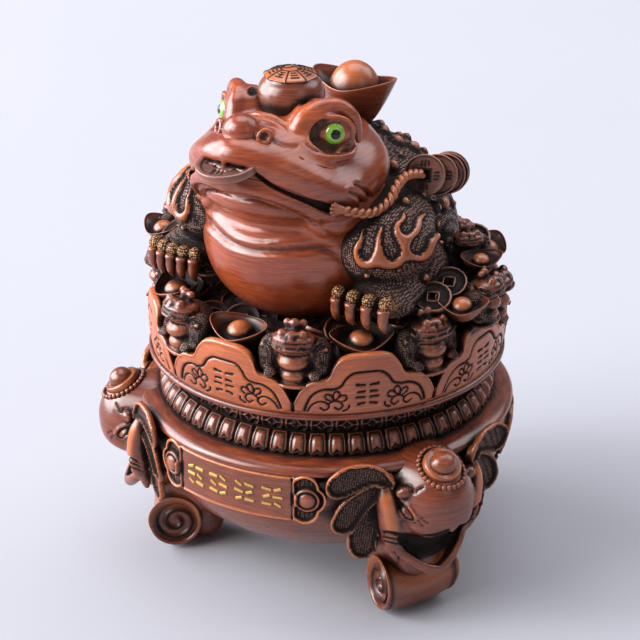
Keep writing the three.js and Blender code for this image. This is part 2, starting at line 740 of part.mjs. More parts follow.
for (const [name, sign] of [["left_glass_eye", 1], ["right_glass_eye", -1]]) {
  const r = EYE_DIAMETER / 2;
  const eye = piece(name, ball(0, 0, 0, r, r, r, [0, 0, 0], EYE_SIDES, EYE_ROWS), GLASS_GREEN);
  const [x, y, z] = EYE_PLACE;
  eye.position.set(sign * x * TOAD_UNIT, y * TOAD_UNIT, z * TOAD_UNIT + TOAD_SEAT_Z);
  upper.add(eye);
}

const mouthCoin = piece(
  "mouth_coin",
  coin(MOUTH_COIN_DIAMETER / 2, MOUTH_COIN_THICKNESS, new THREE.Matrix4(), COIN_SIDES),
  OLD_COIN,
);
mouthCoin.applyMatrix4(at(0, 0, TOAD_SEAT_Z).multiply(mouthCoinPlace()));
upper.add(mouthCoin);
moneyToad.add(upper);

const box = new THREE.Box3().setFromObject(moneyToad, true);
const middle = box.getCenter(new THREE.Vector3());
moneyToad.position.set(-middle.x, -middle.y, -box.min.z);

export default moneyToad;
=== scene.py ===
import logging
import math
import random
from dataclasses import dataclass, field, replace
from enum import Enum
from itertools import product
from typing import Callable, Iterable, Optional, Sequence

import bmesh
import bpy
import numpy as np
from mathutils import Matrix, Vector


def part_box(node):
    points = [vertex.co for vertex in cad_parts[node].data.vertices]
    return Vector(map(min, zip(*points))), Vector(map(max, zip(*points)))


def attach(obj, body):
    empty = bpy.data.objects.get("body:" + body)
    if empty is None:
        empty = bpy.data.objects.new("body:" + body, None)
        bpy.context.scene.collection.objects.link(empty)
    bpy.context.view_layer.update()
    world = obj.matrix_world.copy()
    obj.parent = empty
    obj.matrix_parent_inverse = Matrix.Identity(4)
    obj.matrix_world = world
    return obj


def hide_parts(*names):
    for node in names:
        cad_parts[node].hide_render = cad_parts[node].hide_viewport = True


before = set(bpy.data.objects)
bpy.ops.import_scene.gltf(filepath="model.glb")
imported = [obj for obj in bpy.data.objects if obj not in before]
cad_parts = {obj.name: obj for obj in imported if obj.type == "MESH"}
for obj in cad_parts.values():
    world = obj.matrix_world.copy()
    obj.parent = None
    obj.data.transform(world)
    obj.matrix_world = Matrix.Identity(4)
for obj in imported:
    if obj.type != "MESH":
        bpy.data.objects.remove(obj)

LOG = logging.getLogger("money_toad")
MM = 0.001  # the forms below are in millimetres from the stand's axis and the floor, the meshes in metres
BODY = "root"
TAU = 2 * math.pi
GOLDEN_ANGLE = 2.39996  # radians from one wart to the next, so that no rows show

Triple = tuple[float, float, float]
Pair = tuple[float, float]
Piled = tuple[Triple, float, float]  # place, bearing and scale
Relief = Callable[[np.ndarray, np.ndarray], np.ndarray]
# the stain values also carry painted shade, and the glow values a painted highlight on the elephants' rolls
TRAITS = ("stipple", "stain_and_shade", "glow")  # what each point knows about its finish


class Slot(Enum):
    """The record's material slots."""

    RESIN = "bronze_brown_resin"
    COIN = "old_coin_resin"
    GLASS = "green_glass"


def axis_of_stand() -> Vector:
    """Place of the stand's upright axis on the floor, in metres: the round tray is centred on it."""
    low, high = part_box("toad_on_tray")
    return Vector(((low[0] + high[0]) / 2, (low[1] + high[1]) / 2, 0.0))


AXIS = axis_of_stand()
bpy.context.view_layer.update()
STAND_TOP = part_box("elephant_stand")[1][2] / MM
CROWN_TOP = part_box("toad_on_tray")[1][2] / MM


# Small tools for numbers, curves and meshes


def smoothstep(low: float, high: float, x: np.ndarray) -> np.ndarray:
    """A smooth rise from 0 at low to 1 at high."""
    t = np.clip((x - low) / (high - low), 0.0, 1.0)
    return t * t * (3 - 2 * t)


def bell(distance: np.ndarray, width: float) -> np.ndarray:
    """A soft round hill: 1 at distance 0, nearly 0 beyond twice the width."""
    return np.exp(-((distance / width) ** 2))


def smooth_line(points: Sequence[Sequence[float]], steps: int = 8, closed: bool = False) -> np.ndarray:
    """A smooth curve through a few points.

    Args:
        points: The points, all with the same number of coordinates.
        steps: Points on the curve for each stretch between two of them.
        closed: Whether the curve runs back to its first point.

    Returns:
        The curve's points, one a row.
    """
    given = np.array(points, float)
    if closed:
        rows = np.vstack([given[-1:], given, given[:2]])
    else:
        rows = np.vstack([2 * given[0] - given[1], given, 2 * given[-1] - given[-2]])
    made = []
    for a, b, c, d in zip(rows, rows[1:], rows[2:], rows[3:]):
        for t in np.arange(steps) / steps:
            made.append(
                0.5 * (2 * b + (c - a) * t + (2 * a - 5 * b + 4 * c - d) * t * t + (3 * b - a - 3 * c + d) * t**3)
            )
    made.append(rows[-2])
    return np.array(made)


def line_distance(points: np.ndarray, line: np.ndarray) -> np.ndarray:
    """Distance from each point to a line of straight stretches, in as many dimensions as both have."""
    return line_reach(points, line, np.zeros(len(line)))


def line_reach(points: np.ndarray, line: np.ndarray, radii: np.ndarray) -> np.ndarray:
    """Distance from each point to the skin of a bar along a line.

    Args:
        points: The points, one a row.
        line: The line's points, one a row.
        radii: The bar's radius at each point of the line.

    Returns:
        The distances, below zero inside the bar.
    """
    best = np.full(len(points), 1e9, np.float32)
    for a, b, ra, rb in zip(line, line[1:], radii, radii[1:]):
        along = b - a
        share = np.clip((points - a) @ along / max(float(along @ along), 1e-9), 0.0, 1.0)
        gap = np.linalg.norm(points - a - share[:, None] * along, axis=1) - (ra + (rb - ra) * share)
        best = np.minimum(best, gap)
    return best


def turned(points: np.ndarray, degrees: float) -> np.ndarray:
    """The points turned about the upright axis.

    Args:
        points: Places in millimetres, one a row.
        degrees: How far to turn them.

    Returns:
        The turned points.
    """
    c, s = math.cos(math.radians(degrees)), math.sin(math.radians(degrees))
    made = points.copy()
    made[:, 0] = points[:, 0] * c - points[:, 1] * s
    made[:, 1] = points[:, 0] * s + points[:, 1] * c
    return made


def heading(bearing: float, lift: float = 0.0) -> Vector:
    """The direction at a bearing from the front side, lifted by so many degrees above level."""
    a, e = math.radians(bearing), math.radians(lift)
    return Vector((math.sin(a) * math.cos(e), -math.cos(a) * math.cos(e), math.sin(e)))


def aimed(direction: Vector) -> Matrix:
    """The turn that points a thing's upright axis in a direction."""
    return direction.to_track_quat("Z", "Y").to_matrix().to_4x4()


def about(axis: str, degrees: float) -> Matrix:
    """A turn about one of the axes."""
    return Matrix.Rotation(math.radians(degrees), 4, axis)


def object_of(name: str, data: bpy.types.ID) -> bpy.types.Object:
    """Makes an object and puts it into the scene.

    Args:
        name: Name of the object.
        data: Its mesh, camera or light.

    Returns:
        The object.
    """
    thing = bpy.data.objects.new(name, data)
    bpy.context.scene.collection.objects.link(thing)
    return thing


def set_up(thing: bpy.types.Object, place: Vector, sight: Vector) -> None:
    """Puts a camera or a lamp at a place and lets it look in a direction.

    Args:
        thing: The camera or the lamp.
        place: Where it stands, in metres.
        sight: The direction in which it looks.
    """
    thing.location = place
    thing.rotation_mode = "QUATERNION"
    thing.rotation_quaternion = sight.to_track_quat("-Z", "Y")


def mesh_of(bm: bmesh.types.BMesh, name: str) -> bpy.types.Mesh:
    """Turns a bmesh into a mesh, and frees it.

    Args:
        bm: The bmesh.
        name: Name of the mesh.

    Returns:
        The mesh.
    """
    mesh = bpy.data.meshes.new(name)
    bm.to_mesh(mesh)
    bm.free()
    return mesh


def gathered(meshes: Iterable[bpy.types.Mesh], name: str) -> bpy.types.Mesh:
    """Gathers several meshes into one, and removes them.

    Args:
        meshes: The meshes to join.
        name: Name of the new mesh.

    Returns:
        The one mesh.
    """
    bm = bmesh.new()
    for mesh in meshes:
        bm.from_mesh(mesh)
        bpy.data.meshes.remove(mesh)
    return mesh_of(bm, name)


def copied(mesh: bpy.types.Mesh, places: Iterable[Matrix], name: str) -> bpy.types.Mesh:
    """One mesh of many copies of another, one at each place.

    Args:
        mesh: What is copied.
        places: Where each copy goes.
        name: Name of the new mesh.

    Returns:
        The new mesh.
    """
    bm = bmesh.new()
    for place in places:
        count = len(bm.verts)
        bm.from_mesh(mesh)
        bmesh.ops.transform(bm, matrix=place, verts=bm.verts[count:])
    return mesh_of(bm, name)


def walled(bm: bmesh.types.BMesh, rings: Sequence[Sequence[bmesh.types.BMVert]]) -> None:
    """Closes the gap between each ring of points and the next one with faces.

    Args:
        bm: The bmesh that holds the rings.
        rings: The rings, all with as many points.
    """
    for first, second in zip(rings, rings[1:]):
        for i in range(len(first)):
            j = (i + 1) % len(first)
            bm.faces.new((first[i], first[j], second[j], second[i]))


@dataclass(frozen=True)
class PhotoCamera:
    """The photograph's viewpoint: where it stands and how a place in millimetres falls on its 640 pixels."""

    azimuth: float = 29.0
    elevation: float = 25.2
    distance: float = 1000.0
    aside: float = -3.71
    aim_height: float = 131.0
    picture: int = 640
    focal_pixels: float = 1868.0
    sensor: float = 36.0
    clip: Pair = (0.05, 20.0)

    def pixels(self, points: np.ndarray) -> np.ndarray:
        """Pixel column and row of each point.

        Args:
            points: Places in millimetres, one a row.

        Returns:
            A column and a row for each.
        """
        e = math.radians(self.elevation)
        p = turned(points, -self.azimuth)
        rise = p[:, 2] - self.aim_height
        depth = self.distance + p[:, 1] * math.cos(e) - rise * math.sin(e)
        up = p[:, 1] * math.sin(e) + rise * math.cos(e)
        middle = self.picture / 2
        return np.stack(
            [
                middle + self.focal_pixels * (p[:, 0] - self.aside) / depth,
                middle - self.focal_pixels * up / depth,
            ],
            axis=1,
        )

    def place(self) -> None:
        """Makes the scene's camera at this viewpoint."""
        a = math.radians(self.azimuth)
        target = AXIS + MM * Vector((self.aside * math.cos(a), self.aside * math.sin(a), self.aim_height))
        back = heading(self.azimuth, self.elevation)
        data = bpy.data.cameras.new("camera")
        data.sensor_width = self.sensor
        data.lens = self.sensor * self.focal_pixels / self.picture
        data.clip_start, data.clip_end = self.clip
        camera = object_of("camera", data)
        set_up(camera, target + back * self.distance * MM, -back)
        bpy.context.scene.camera = camera


PHOTO = PhotoCamera()
TOAD_TURN = -4.0  # degrees that the toad and its tray sit turned on the stand


@dataclass(frozen=True)
class View:
    """How the photograph sees a part that is the same on both sides: the seen half stands for both."""

    turn: float  # degrees that the part is turned on the stand
    side: float  # 1 when the seen half lies at positive x, -1 when at negative x
    pixel: float = 0.53  # millimetres that a pixel spans

    def pixels(self, points: np.ndarray) -> np.ndarray:
        """Pixels of points, the hidden half counted as the mirror of the seen one.

        Args:
            points: Places in millimetres, one a row.

        Returns:
            A column and a row for each.
        """
        seen = points.copy()
        seen[:, 0] = np.abs(seen[:, 0]) * self.side
        return PHOTO.pixels(turned(seen, self.turn)).astype(np.float32)

    def facing(self, points: np.ndarray, normals: np.ndarray) -> np.ndarray:
        """How far the skin faces the camera: 1 when it looks straight at it.

        Args:
            points: Places in millimetres, one a row.
            normals: The skin's normals at them.

        Returns:
            A value for each.
        """
        towards = np.array(heading(PHOTO.azimuth - self.turn, PHOTO.elevation), np.float32)
        flip = np.where(points[:, 0] * self.side < 0, -1.0, 1.0)
        return flip * normals[:, 0] * towards[0] + normals[:, 1] * towards[1] + normals[:, 2] * towards[2]


TOAD_VIEW = View(TOAD_TURN, 1.0)
ELEPHANT_VIEW = View(60.0, -1.0)


# Modelling with clay: rough lumps are joined to one skin, which is then drawn onto the exact form


class Work(Enum):
    """What a form does to the clay."""

    ADD = "add"
    CUT = "cut"


@dataclass(frozen=True)
class Lump:
    """An ellipsoid: its centre, its radii, how it is turned in degrees, and how softly it joins."""

    centre: Triple
    radii: Triple
    turn: Triple = (0.0, 0.0, 0.0)
    blend: float = 4.0
    work: Work = Work.ADD

    def turning(self) -> Matrix:
        """The turn as a matrix."""
        x, y, z = self.turn
        return about("Z", z) @ about("Y", y) @ about("X", x)

    def distance(self, points: np.ndarray) -> np.ndarray:
        """Rough distance of each point to the ellipsoid's skin.

        Args:
            points: Places in millimetres, one a row.

        Returns:
            The distances, below zero inside.
        """
        axes = np.array(self.turning().to_3x3(), np.float32)
        local = (points - np.array(self.centre, np.float32)) @ axes
        radii = np.array(self.radii, np.float32)
        reach = np.linalg.norm(local / radii, axis=1)
        slope = np.maximum(np.linalg.norm(local / radii**2, axis=1), 1e-6)
        return reach * (reach - 1) / slope

    def box(self) -> tuple[np.ndarray, np.ndarray]:
        """A box that holds the ellipsoid."""
        wide = np.abs(np.array(self.turning().to_3x3(), np.float32)) @ np.array(self.radii, np.float32)
        return np.array(self.centre, np.float32) - wide, np.array(self.centre, np.float32) + wide

    def rough(self, bm: bmesh.types.BMesh) -> None:
        """Adds the ellipsoid to a rough mesh.

        Args:
            bm: The rough mesh.
        """
        size = Matrix.Diagonal((*self.radii, 1.0))
        bmesh.ops.create_icosphere(
            bm, subdivisions=3, radius=1.0, matrix=Matrix.Translation(self.centre) @ self.turning() @ size
        )

    def mirrored(self) -> "Lump":
        """The same lump on the other side of the middle plane."""
        x, y, z = self.centre
        a, b, c = self.turn
        return replace(self, centre=(-x, y, z), turn=(a, -b, -c))


@dataclass(frozen=True)
class Roll:
    """A round bar along a smooth line, such as a brow, a lip or a finger."""

    points: tuple[Triple, ...]
    radii: tuple[float, ...]
    blend: float = 3.0
    work: Work = Work.ADD
    steps: int = 5

    def line(self) -> tuple[np.ndarray, np.ndarray]:
        """The bar's middle line and its radii."""
        rows = [(*p, r) for p, r in zip(self.points, self.radii)]
        made = smooth_line(rows, self.steps).astype(np.float32)
        return made[:, :3], made[:, 3]

    def distance(self, points: np.ndarray) -> np.ndarray:
        """Distance of each point to the bar's skin."""
        return line_reach(points, *self.line())

    def box(self) -> tuple[np.ndarray, np.ndarray]:
        """A box that holds the bar."""
        line, radii = self.line()
        return (line - radii[:, None]).min(axis=0), (line + radii[:, None]).max(axis=0)

    def rough(self, bm: bmesh.types.BMesh) -> None:
        """Adds the bar to a rough mesh as a row of balls.

        Args:
            bm: The rough mesh.
        """
        line, radii = self.line()
        for place, radius in zip(line, radii):
            bmesh.ops.create_icosphere(
                bm, subdivisions=2, radius=float(radius), matrix=Matrix.Translation(place.tolist())
            )

    def mirrored(self) -> "Roll":
        """The same bar on the other side of the middle plane."""
        return replace(self, points=tuple((-x, y, z) for x, y, z in self.points))


@dataclass(frozen=True)
class Plate:
    """A flat leaf: a bar along a line, cut to an even thickness and rounded at its edge."""

    points: tuple[Pair, ...]
    radii: tuple[float, ...]
    thickness: float = 3.0
    middle: float = 0.0
    blend: float = 1.0
    work: Work = Work.ADD
    steps: int = 6

    def line(self) -> tuple[np.ndarray, np.ndarray]:
        """The leaf's middle line and its radii."""
        made = smooth_line([(*p, r) for p, r in zip(self.points, self.radii)], self.steps).astype(np.float32)
        return made[:, :2], made[:, 2]

    def distance(self, points: np.ndarray) -> np.ndarray:
        """Distance of each point to the leaf's skin.

        Args:
            points: Places in millimetres, one a row.

        Returns:
            The distances, below zero inside.
        """
        soft = self.thickness * 0.45
        flat = line_reach(points[:, :2], *self.line()) + soft
        deep = np.abs(points[:, 2] - self.middle) - self.thickness / 2 + soft
        return np.hypot(np.maximum(flat, 0), np.maximum(deep, 0)) + np.minimum(np.maximum(flat, deep), 0) - soft

    def box(self) -> tuple[np.ndarray, np.ndarray]:
        """A box that holds the leaf."""
        line, radii = self.line()
        low, high = (line - radii[:, None]).min(axis=0), (line + radii[:, None]).max(axis=0)
        half = self.thickness / 2
        return np.array([*low, self.middle - half], np.float32), np.array([*high, self.middle + half], np.float32)

    def rough(self, bm: bmesh.types.BMesh) -> None:
        """Adds the leaf to a rough mesh as a row of flattened balls.

        Args:
            bm: The rough mesh.
        """
        line, radii = self.line()
        for (x, y), radius in zip(line, radii):
            size = Matrix.Diagonal((float(radius), float(radius), self.thickness * 0.62, 1.0))
            place = Matrix.Translation((float(x), float(y), self.middle))
            bmesh.ops.create_icosphere(bm, subdivisions=3, radius=1.0, matrix=place @ size)

    def mirrored(self) -> "Plate":
        """The same leaf on the other side."""
        flipped = tuple((-x, y) for x, y in self.points)
        return replace(self, points=flipped)


Form = Lump | Roll | Plate


def both_sides(forms: Iterable[Form]) -> list[Form]:
    """The forms and their mirror images."""
    return [one for form in forms for one in (form, form.mirrored())]


@dataclass
class Clay:
    """One skin over many forms, with carving on top."""

    forms: list[Form]
    grain: float = 1.0  # edge of the skin's faces
    flat_below: Optional[float] = None  # height of the flat that it stands on
    margin: float = 4.0  # how far round a form its skin is worked out
    nudge: float = 0.08  # step over which the slope is taken
    stride: float = 2.5  # furthest that a point moves at once
    rounds: int = 5

    def distance(self, points: np.ndarray) -> np.ndarray:
        """Distance of each point to the blended skin; forms far from a point are left out of its sum.

        Args:
            points: Places in millimetres, one a row.

        Returns:
            The distances, below zero inside.
        """
        found = self.forms[0].distance(points)
        for form in self.forms[1:]:
            low, high = form.box()
            reach = form.blend + self.margin
            near = np.nonzero(((points > low - reach) & (points < high + reach)).all(axis=1))[0]
            if len(near) == 0:
                continue
            side = -1.0 if form.work is Work.CUT else 1.0
            mine, other = found[near] * side, form.distance(points[near])
            mix = np.maximum(form.blend - np.abs(mine - other), 0) / form.blend
            found[near] = side * (np.minimum(mine, other) - mix * mix * form.blend / 4)
        return found

    def slope(self, points: np.ndarray, value: np.ndarray) -> np.ndarray:
        """Direction in which the distance grows, at each point where it has the value given.

        Args:
            points: Places in millimetres, one a row.
            value: The distance at each of them.

        Returns:
            A direction for each, not of unit length.
        """
        parts = []
        for k in range(3):
            moved = points.copy()
            moved[:, k] += self.nudge
            parts.append((self.distance(moved) - value) / self.nudge)
        return np.stack(parts, axis=1)

    def rough_mesh(self, name: str) -> bpy.types.Mesh:
        """The joined, evenly faced skin over the rough forms.

        Args:
            name: Name of the piece.

        Returns:
            The mesh.
        """
        bm = bmesh.new()
        for form in self.forms:
            if form.work is Work.ADD:
                form.rough(bm)
        mesh = mesh_of(bm, name + "_rough")
        holder = object_of(name + "_rough", mesh)
        remesh = holder.modifiers.new("skin", "REMESH")
        remesh.mode, remesh.voxel_size = "VOXEL", self.grain
        skin = bpy.data.meshes.new_from_object(holder.evaluated_get(bpy.context.evaluated_depsgraph_get()))
        bpy.data.objects.remove(holder)
        bpy.data.meshes.remove(mesh)
        return skin

    def skin(self, name: str, carve: Optional[Callable[["Skin"], None]] = None) -> "Skin":
        """Draws the rough skin onto the exact form and carves it.

        Args:
            name: Name of the piece.
            carve: What adds the relief, once the skin is smooth.

        Returns:
            The finished skin.
        """
        mesh = self.rough_mesh(name)
        points = read_points(mesh)
        for turn in range(self.rounds):
            value = self.distance(points)
            slope = self.slope(points, value)
            step = value / np.maximum((slope**2).sum(axis=1), 0.25)
            points -= np.clip(step, -self.stride, self.stride)[:, None] * slope
            if turn == self.rounds // 2:
                write_points(mesh, points)
                points = relaxed(mesh, points, 2)
        value = self.distance(points)
        normals = self.slope(points, value)
        normals /= np.maximum(np.linalg.norm(normals, axis=1), 1e-6)[:, None]
        made = Skin(name, mesh, points, normals)
        if carve:
            carve(made)
        carved(made)
        if self.flat_below is not None:
            made.points[:, 2] = np.maximum(made.points[:, 2], self.flat_below)
        return made


def snapped(clay: Clay, place: Vector) -> Vector:
    """The nearest place on the clay's skin.

    Args:
        clay: The form.
        place: A place near its skin.

    Returns:
        The place on it.
    """
    made = np.array([place], np.float32)
    for _ in range(6):
        value = clay.distance(made)
        slope = clay.slope(made, value)
        made = made - (value / np.maximum((slope**2).sum(axis=1), 0.25))[:, None] * slope
    return Vector(made[0].tolist())


def read_points(mesh: bpy.types.Mesh) -> np.ndarray:
    """The mesh's points, one a row.

    Args:
        mesh: The mesh.

    Returns:
        The points.
    """
    made = np.empty(len(mesh.vertices) * 3, np.float32)
    mesh.vertices.foreach_get("co", made)
    return made.reshape(-1, 3)


def write_points(mesh: bpy.types.Mesh, points: np.ndarray) -> None:
    """Puts the points into the mesh."""
    mesh.vertices.foreach_set("co", np.ascontiguousarray(points, np.float32).ravel())
    mesh.update()


def write_trait(mesh: bpy.types.Mesh, name: str, values: Optional[np.ndarray]) -> None:
    """Gives the mesh a named value for each point, nothing but zeros where there are none.

    Args:
        mesh: The mesh.
        name: Name of the value.
        values: One value for each point, or nothing.
    """
    layer = mesh.attributes.new(name, "FLOAT", "POINT")
    if values is not None:
        layer.data.foreach_set("value", np.ascontiguousarray(values, np.float32))


def edge_ends(mesh: bpy.types.Mesh) -> np.ndarray:
    """The two point numbers of each edge.

    Args:
        mesh: The mesh.

    Returns:
        A row for each edge.
    """
    made = np.empty(len(mesh.edges) * 2, np.int32)
    mesh.edges.foreach_get("vertices", made)
    return made.reshape(-1, 2)


def relaxed(mesh: bpy.types.Mesh, values: np.ndarray, rounds: int, edges: Optional[np.ndarray] = None) -> np.ndarray:
    """Each point's values evened out with its neighbours'.

    Args:
        mesh: The mesh whose edges say who is a neighbour.
        values: One row for each point.
        rounds: How often it is done.
        edges: The mesh's edges, when they are at hand.

    Returns:
        The evened values.
    """
    ends = edge_ends(mesh) if edges is None else edges
    count = np.bincount(ends.ravel(), minlength=len(values)).astype(np.float32)
    count = np.maximum(count, 1)
    made = values.astype(np.float32)
    for _ in range(rounds):
        columns = []
        for k in range(made.shape[1]):
            column = made[:, k]
            total = np.bincount(ends[:, 0], column[ends[:, 1]], len(column))
            total += np.bincount(ends[:, 1], column[ends[:, 0]], len(column))
            columns.append(0.5 * column + 0.5 * total / count)
        made = np.stack(columns, axis=1).astype(np.float32)
    return made


@dataclass
class Skin:
    """A smooth skin that is being carved: its relief, and where it is stippled, stained dark or painted with shade,
    and rubbed bright or painted with a highlight.
    """

    name: str
    mesh: bpy.types.Mesh
    points: np.ndarray
    normals: np.ndarray
    height: np.ndarray = field(init=False)
    stipple: np.ndarray = field(init=False)
    stain_and_shade: np.ndarray = field(init=False)
    glow: np.ndarray = field(init=False)
    flat: Optional[np.ndarray] = None  # place on the grid that it was woven from, in millimetres

    def __post_init__(self) -> None:
        """Starts with no relief, no stipple, no stain or painted shade and no glow."""
        self.height, self.stipple, self.stain_and_shade, self.glow = np.zeros((4, len(self.points)), np.float32)

    def photo_line(
        self, points: Sequence[Sequence[float]], closed: bool = False, view: View = TOAD_VIEW, sight: float = 0.08
    ) -> np.ndarray:
        """Distance from each point to a line drawn on the photograph, in millimetres.

        Args:
            points: Pixels of the photograph that the line passes, each with the line's half width if it has any.
            closed: Whether the line runs back to its start.
            view: How the photograph sees the part.
            sight: How squarely the skin must face the camera to count.

        Returns:
            The distances, large where the skin faces away.
        """
        line = smooth_line(points, 6, closed).astype(np.float32)
        widths = line[:, 2] if line.shape[1] > 2 else np.zeros(len(line), np.float32)
        pixels = view.pixels(self.points)
        margin = 14  # pixels round the line in which distances are worked out
        low, high = line[:, :2].min(axis=0) - margin, line[:, :2].max(axis=0) + margin
        near = np.nonzero(((pixels > low) & (pixels < high)).all(axis=1))[0]
        gap = np.full(len(self.points), 99.0, np.float32)
        if len(near):
            gap[near] = line_reach(pixels[near], line[:, :2], widths) * view.pixel
        return gap + np.where(view.facing(self.points, self.normals) < sight, 50.0, 0.0)

    def photo_shape(self, points: Sequence[Pair], view: View = TOAD_VIEW, sight: float = 0.08) -> np.ndarray:
        """Distance from each point to the edge of a shape drawn on the photograph, less than nothing inside it.

        Args:
            points: Pixels of the photograph round the shape.
            view: How the photograph sees the part.
            sight: How squarely the skin must face the camera to count.

        Returns:
            The distances in millimetres, large where the skin faces away.
        """
        gap = self.photo_line(points, True, view, sight)
        edge = smooth_line(points, 6, True)
        near = np.nonzero(gap < 40)[0]
        spots = view.pixels(self.points[near])
        inside = np.zeros(len(near), bool)
        for (x1, y1), (x2, y2) in zip(edge, np.roll(edge, -1, axis=0)):
            crosses = (y1 > spots[:, 1]) != (y2 > spots[:, 1])
            inside ^= crosses & (spots[:, 0] < (x2 - x1) * (spots[:, 1] - y1) / ((y2 - y1) or 1e-9) + x1)
        gap[near] = np.where(inside, -gap[near], gap[near])
        return gap

    def line(self, points: Sequence[Triple], closed: bool = False) -> np.ndarray:
        """Distance from each point to a line in space."""
        return line_distance(self.points, smooth_line(points, 6, closed).astype(np.float32))

    def drawn(self, points: Sequence[Pair], closed: bool = False) -> np.ndarray:
        """Distance from each point to a line drawn on the grid that it was woven from."""
        return line_distance(self.flat, smooth_line(points, 6, closed).astype(np.float32))

    def dot(self, values: np.ndarray) -> None:
        """Stipples the skin where the values are higher than what it has."""
        self.stipple = np.maximum(self.stipple, values).astype(np.float32)

    def darken(self, values: np.ndarray) -> None:
        """Stains the skin, or paints shade on it, where the values are higher than what it has."""
        self.stain_and_shade = np.maximum(self.stain_and_shade, values)

    def gild(self, values: np.ndarray) -> None:
        """Rubs the skin bright where the values are higher than what it has."""
        self.glow = np.maximum(self.glow, values)

    def groove(
        self, distance: np.ndarray, width: float, depth: float, where: np.ndarray | float = 1.0, dark: float = 0.7
    ) -> None:
        """Cuts a soft groove along a line and stains it.

        Args:
            distance: Distance of each point to the line.
            width: Half the groove's width.
            depth: Its depth.
            where: Share of it that each point takes.
            dark: How dark its bottom is.
        """
        self.height -= depth * bell(distance, width) * where
        self.darken(bell(distance, width * 0.75) * where * dark)

    def ridge(self, distance: np.ndarray, width: float, height: float, where: np.ndarray | float = 1.0) -> None:
        """Raises a soft ridge along a line; the arguments are those of a groove."""
        self.height += height * bell(distance, width) * where

    def warts(self, places: Iterable[Sequence[float]], radii: Iterable[float]) -> None:
        """Raises round, bright warts with a dark line round their feet.

        Args:
            places: Where they stand on the skin.
            radii: Radius of each.
        """
        for place, radius in zip(places, radii):
            gap = np.linalg.norm(self.points - np.array(place, np.float32), axis=1)
            near = gap < radius * 1.6
            dome = np.sqrt(np.maximum(1 - (gap[near] / radius) ** 2, 0)) * radius * 0.8
            foot = bell(gap[near], radius * 0.9) * radius * 0.25
            self.height[near] = np.maximum(self.height[near], dome + foot)
            clear = 1 - smoothstep(radius * 0.75, radius * 1.05, gap[near])
            self.stipple[near] = np.minimum(self.stipple[near], 1 - clear)
            self.glow[near] = np.maximum(self.glow[near], clear * 0.7)
            rim = bell(gap[near] - radius * 1.1, radius * 0.25)
            self.stain_and_shade[near] = np.maximum(self.stain_and_shade[near], rim * 0.8)


def weave(name: str, low: Pair, high: Pair, grain: float | Pair, shape: Relief, inward: bool = False) -> Skin:
    """Bends an even grid into a form.

    Args:
        name: Name of the piece.
        low: Lowest flat coordinates, in millimetres or degrees as the shape reads them.
        high: Highest flat coordinates.
        grain: Step of the grid, one value or one for each direction.
        shape: Gives the place in space for flat coordinates.
        inward: Whether the relief grows the other way.

    Returns:
        The skin, not yet carved.
    """
    steps = grain if isinstance(grain, tuple) else (grain, grain)
    counts = [max(2, round((b - a) / g)) for a, b, g in zip(low, high, steps)]
    bm = bmesh.new()
    bmesh.ops.create_grid(bm, x_segments=counts[0], y_segments=counts[1], size=0.5)
    mesh = mesh_of(bm, name)
    share = read_points(mesh)[:, :2] + 0.5
    flat = (np.array(low) + share * (np.array(high) - np.array(low))).astype(np.float32)
    x, y = flat[:, 0], flat[:, 1]
    points = shape(x, y).astype(np.float32)
    step_x, step_y = 0.02 * steps[0], 0.02 * steps[1]
    normals = np.cross(shape(x + step_x, y) - shape(x - step_x, y), shape(x, y + step_y) - shape(x, y - step_y))
    normals /= np.maximum(np.linalg.norm(normals, axis=1), 1e-9)[:, None]
    skin = Skin(name, mesh, points, (-normals if inward else normals).astype(np.float32))
    skin.flat = flat
    return skin


def round_the_axis(radius: np.ndarray, degrees: np.ndarray, height: np.ndarray) -> np.ndarray:
    """Places at a radius, a bearing from the front side, and a height."""
    a = np.radians(degrees)
    return np.stack([radius * np.sin(a), -radius * np.cos(a), height + 0 * a], axis=1)


def holed_disc(
    degrees: np.ndarray, radius: float, half_hole: float, share: np.ndarray, level: np.ndarray
) -> np.ndarray:
    """Places on a coin with a square hole.

    Args:
        degrees: Bearings round its middle.
        radius: Its radius.
        half_hole: Half the hole's width.
        share: How far each place lies from the hole's edge, 0, to the coin's, 1.
        level: Height of each place.

    Returns:
        The places.
    """
    a = np.radians(degrees)
    square = half_hole / np.maximum(np.abs(np.cos(a)), np.abs(np.sin(a)))
    reach = square + (radius - square) * share
    return np.stack([reach * np.cos(a), reach * np.sin(a), level], axis=1)


def nearest_spot(degrees: np.ndarray, count: int) -> np.ndarray:
    """Degrees from the nearest of a number of places spread evenly round the axis."""
    pitch = 360 / count
    return np.mod(degrees + pitch / 2, pitch) - pitch / 2


def carved(skin: Skin) -> Skin:
    """Moves the skin's points by its relief."""
    skin.points = skin.points + skin.normals * skin.height[:, None]
    return skin


# Pieces


@dataclass
class Piece:
    """A finished mesh, by its name."""

    name: str
    thing: bpy.types.Object


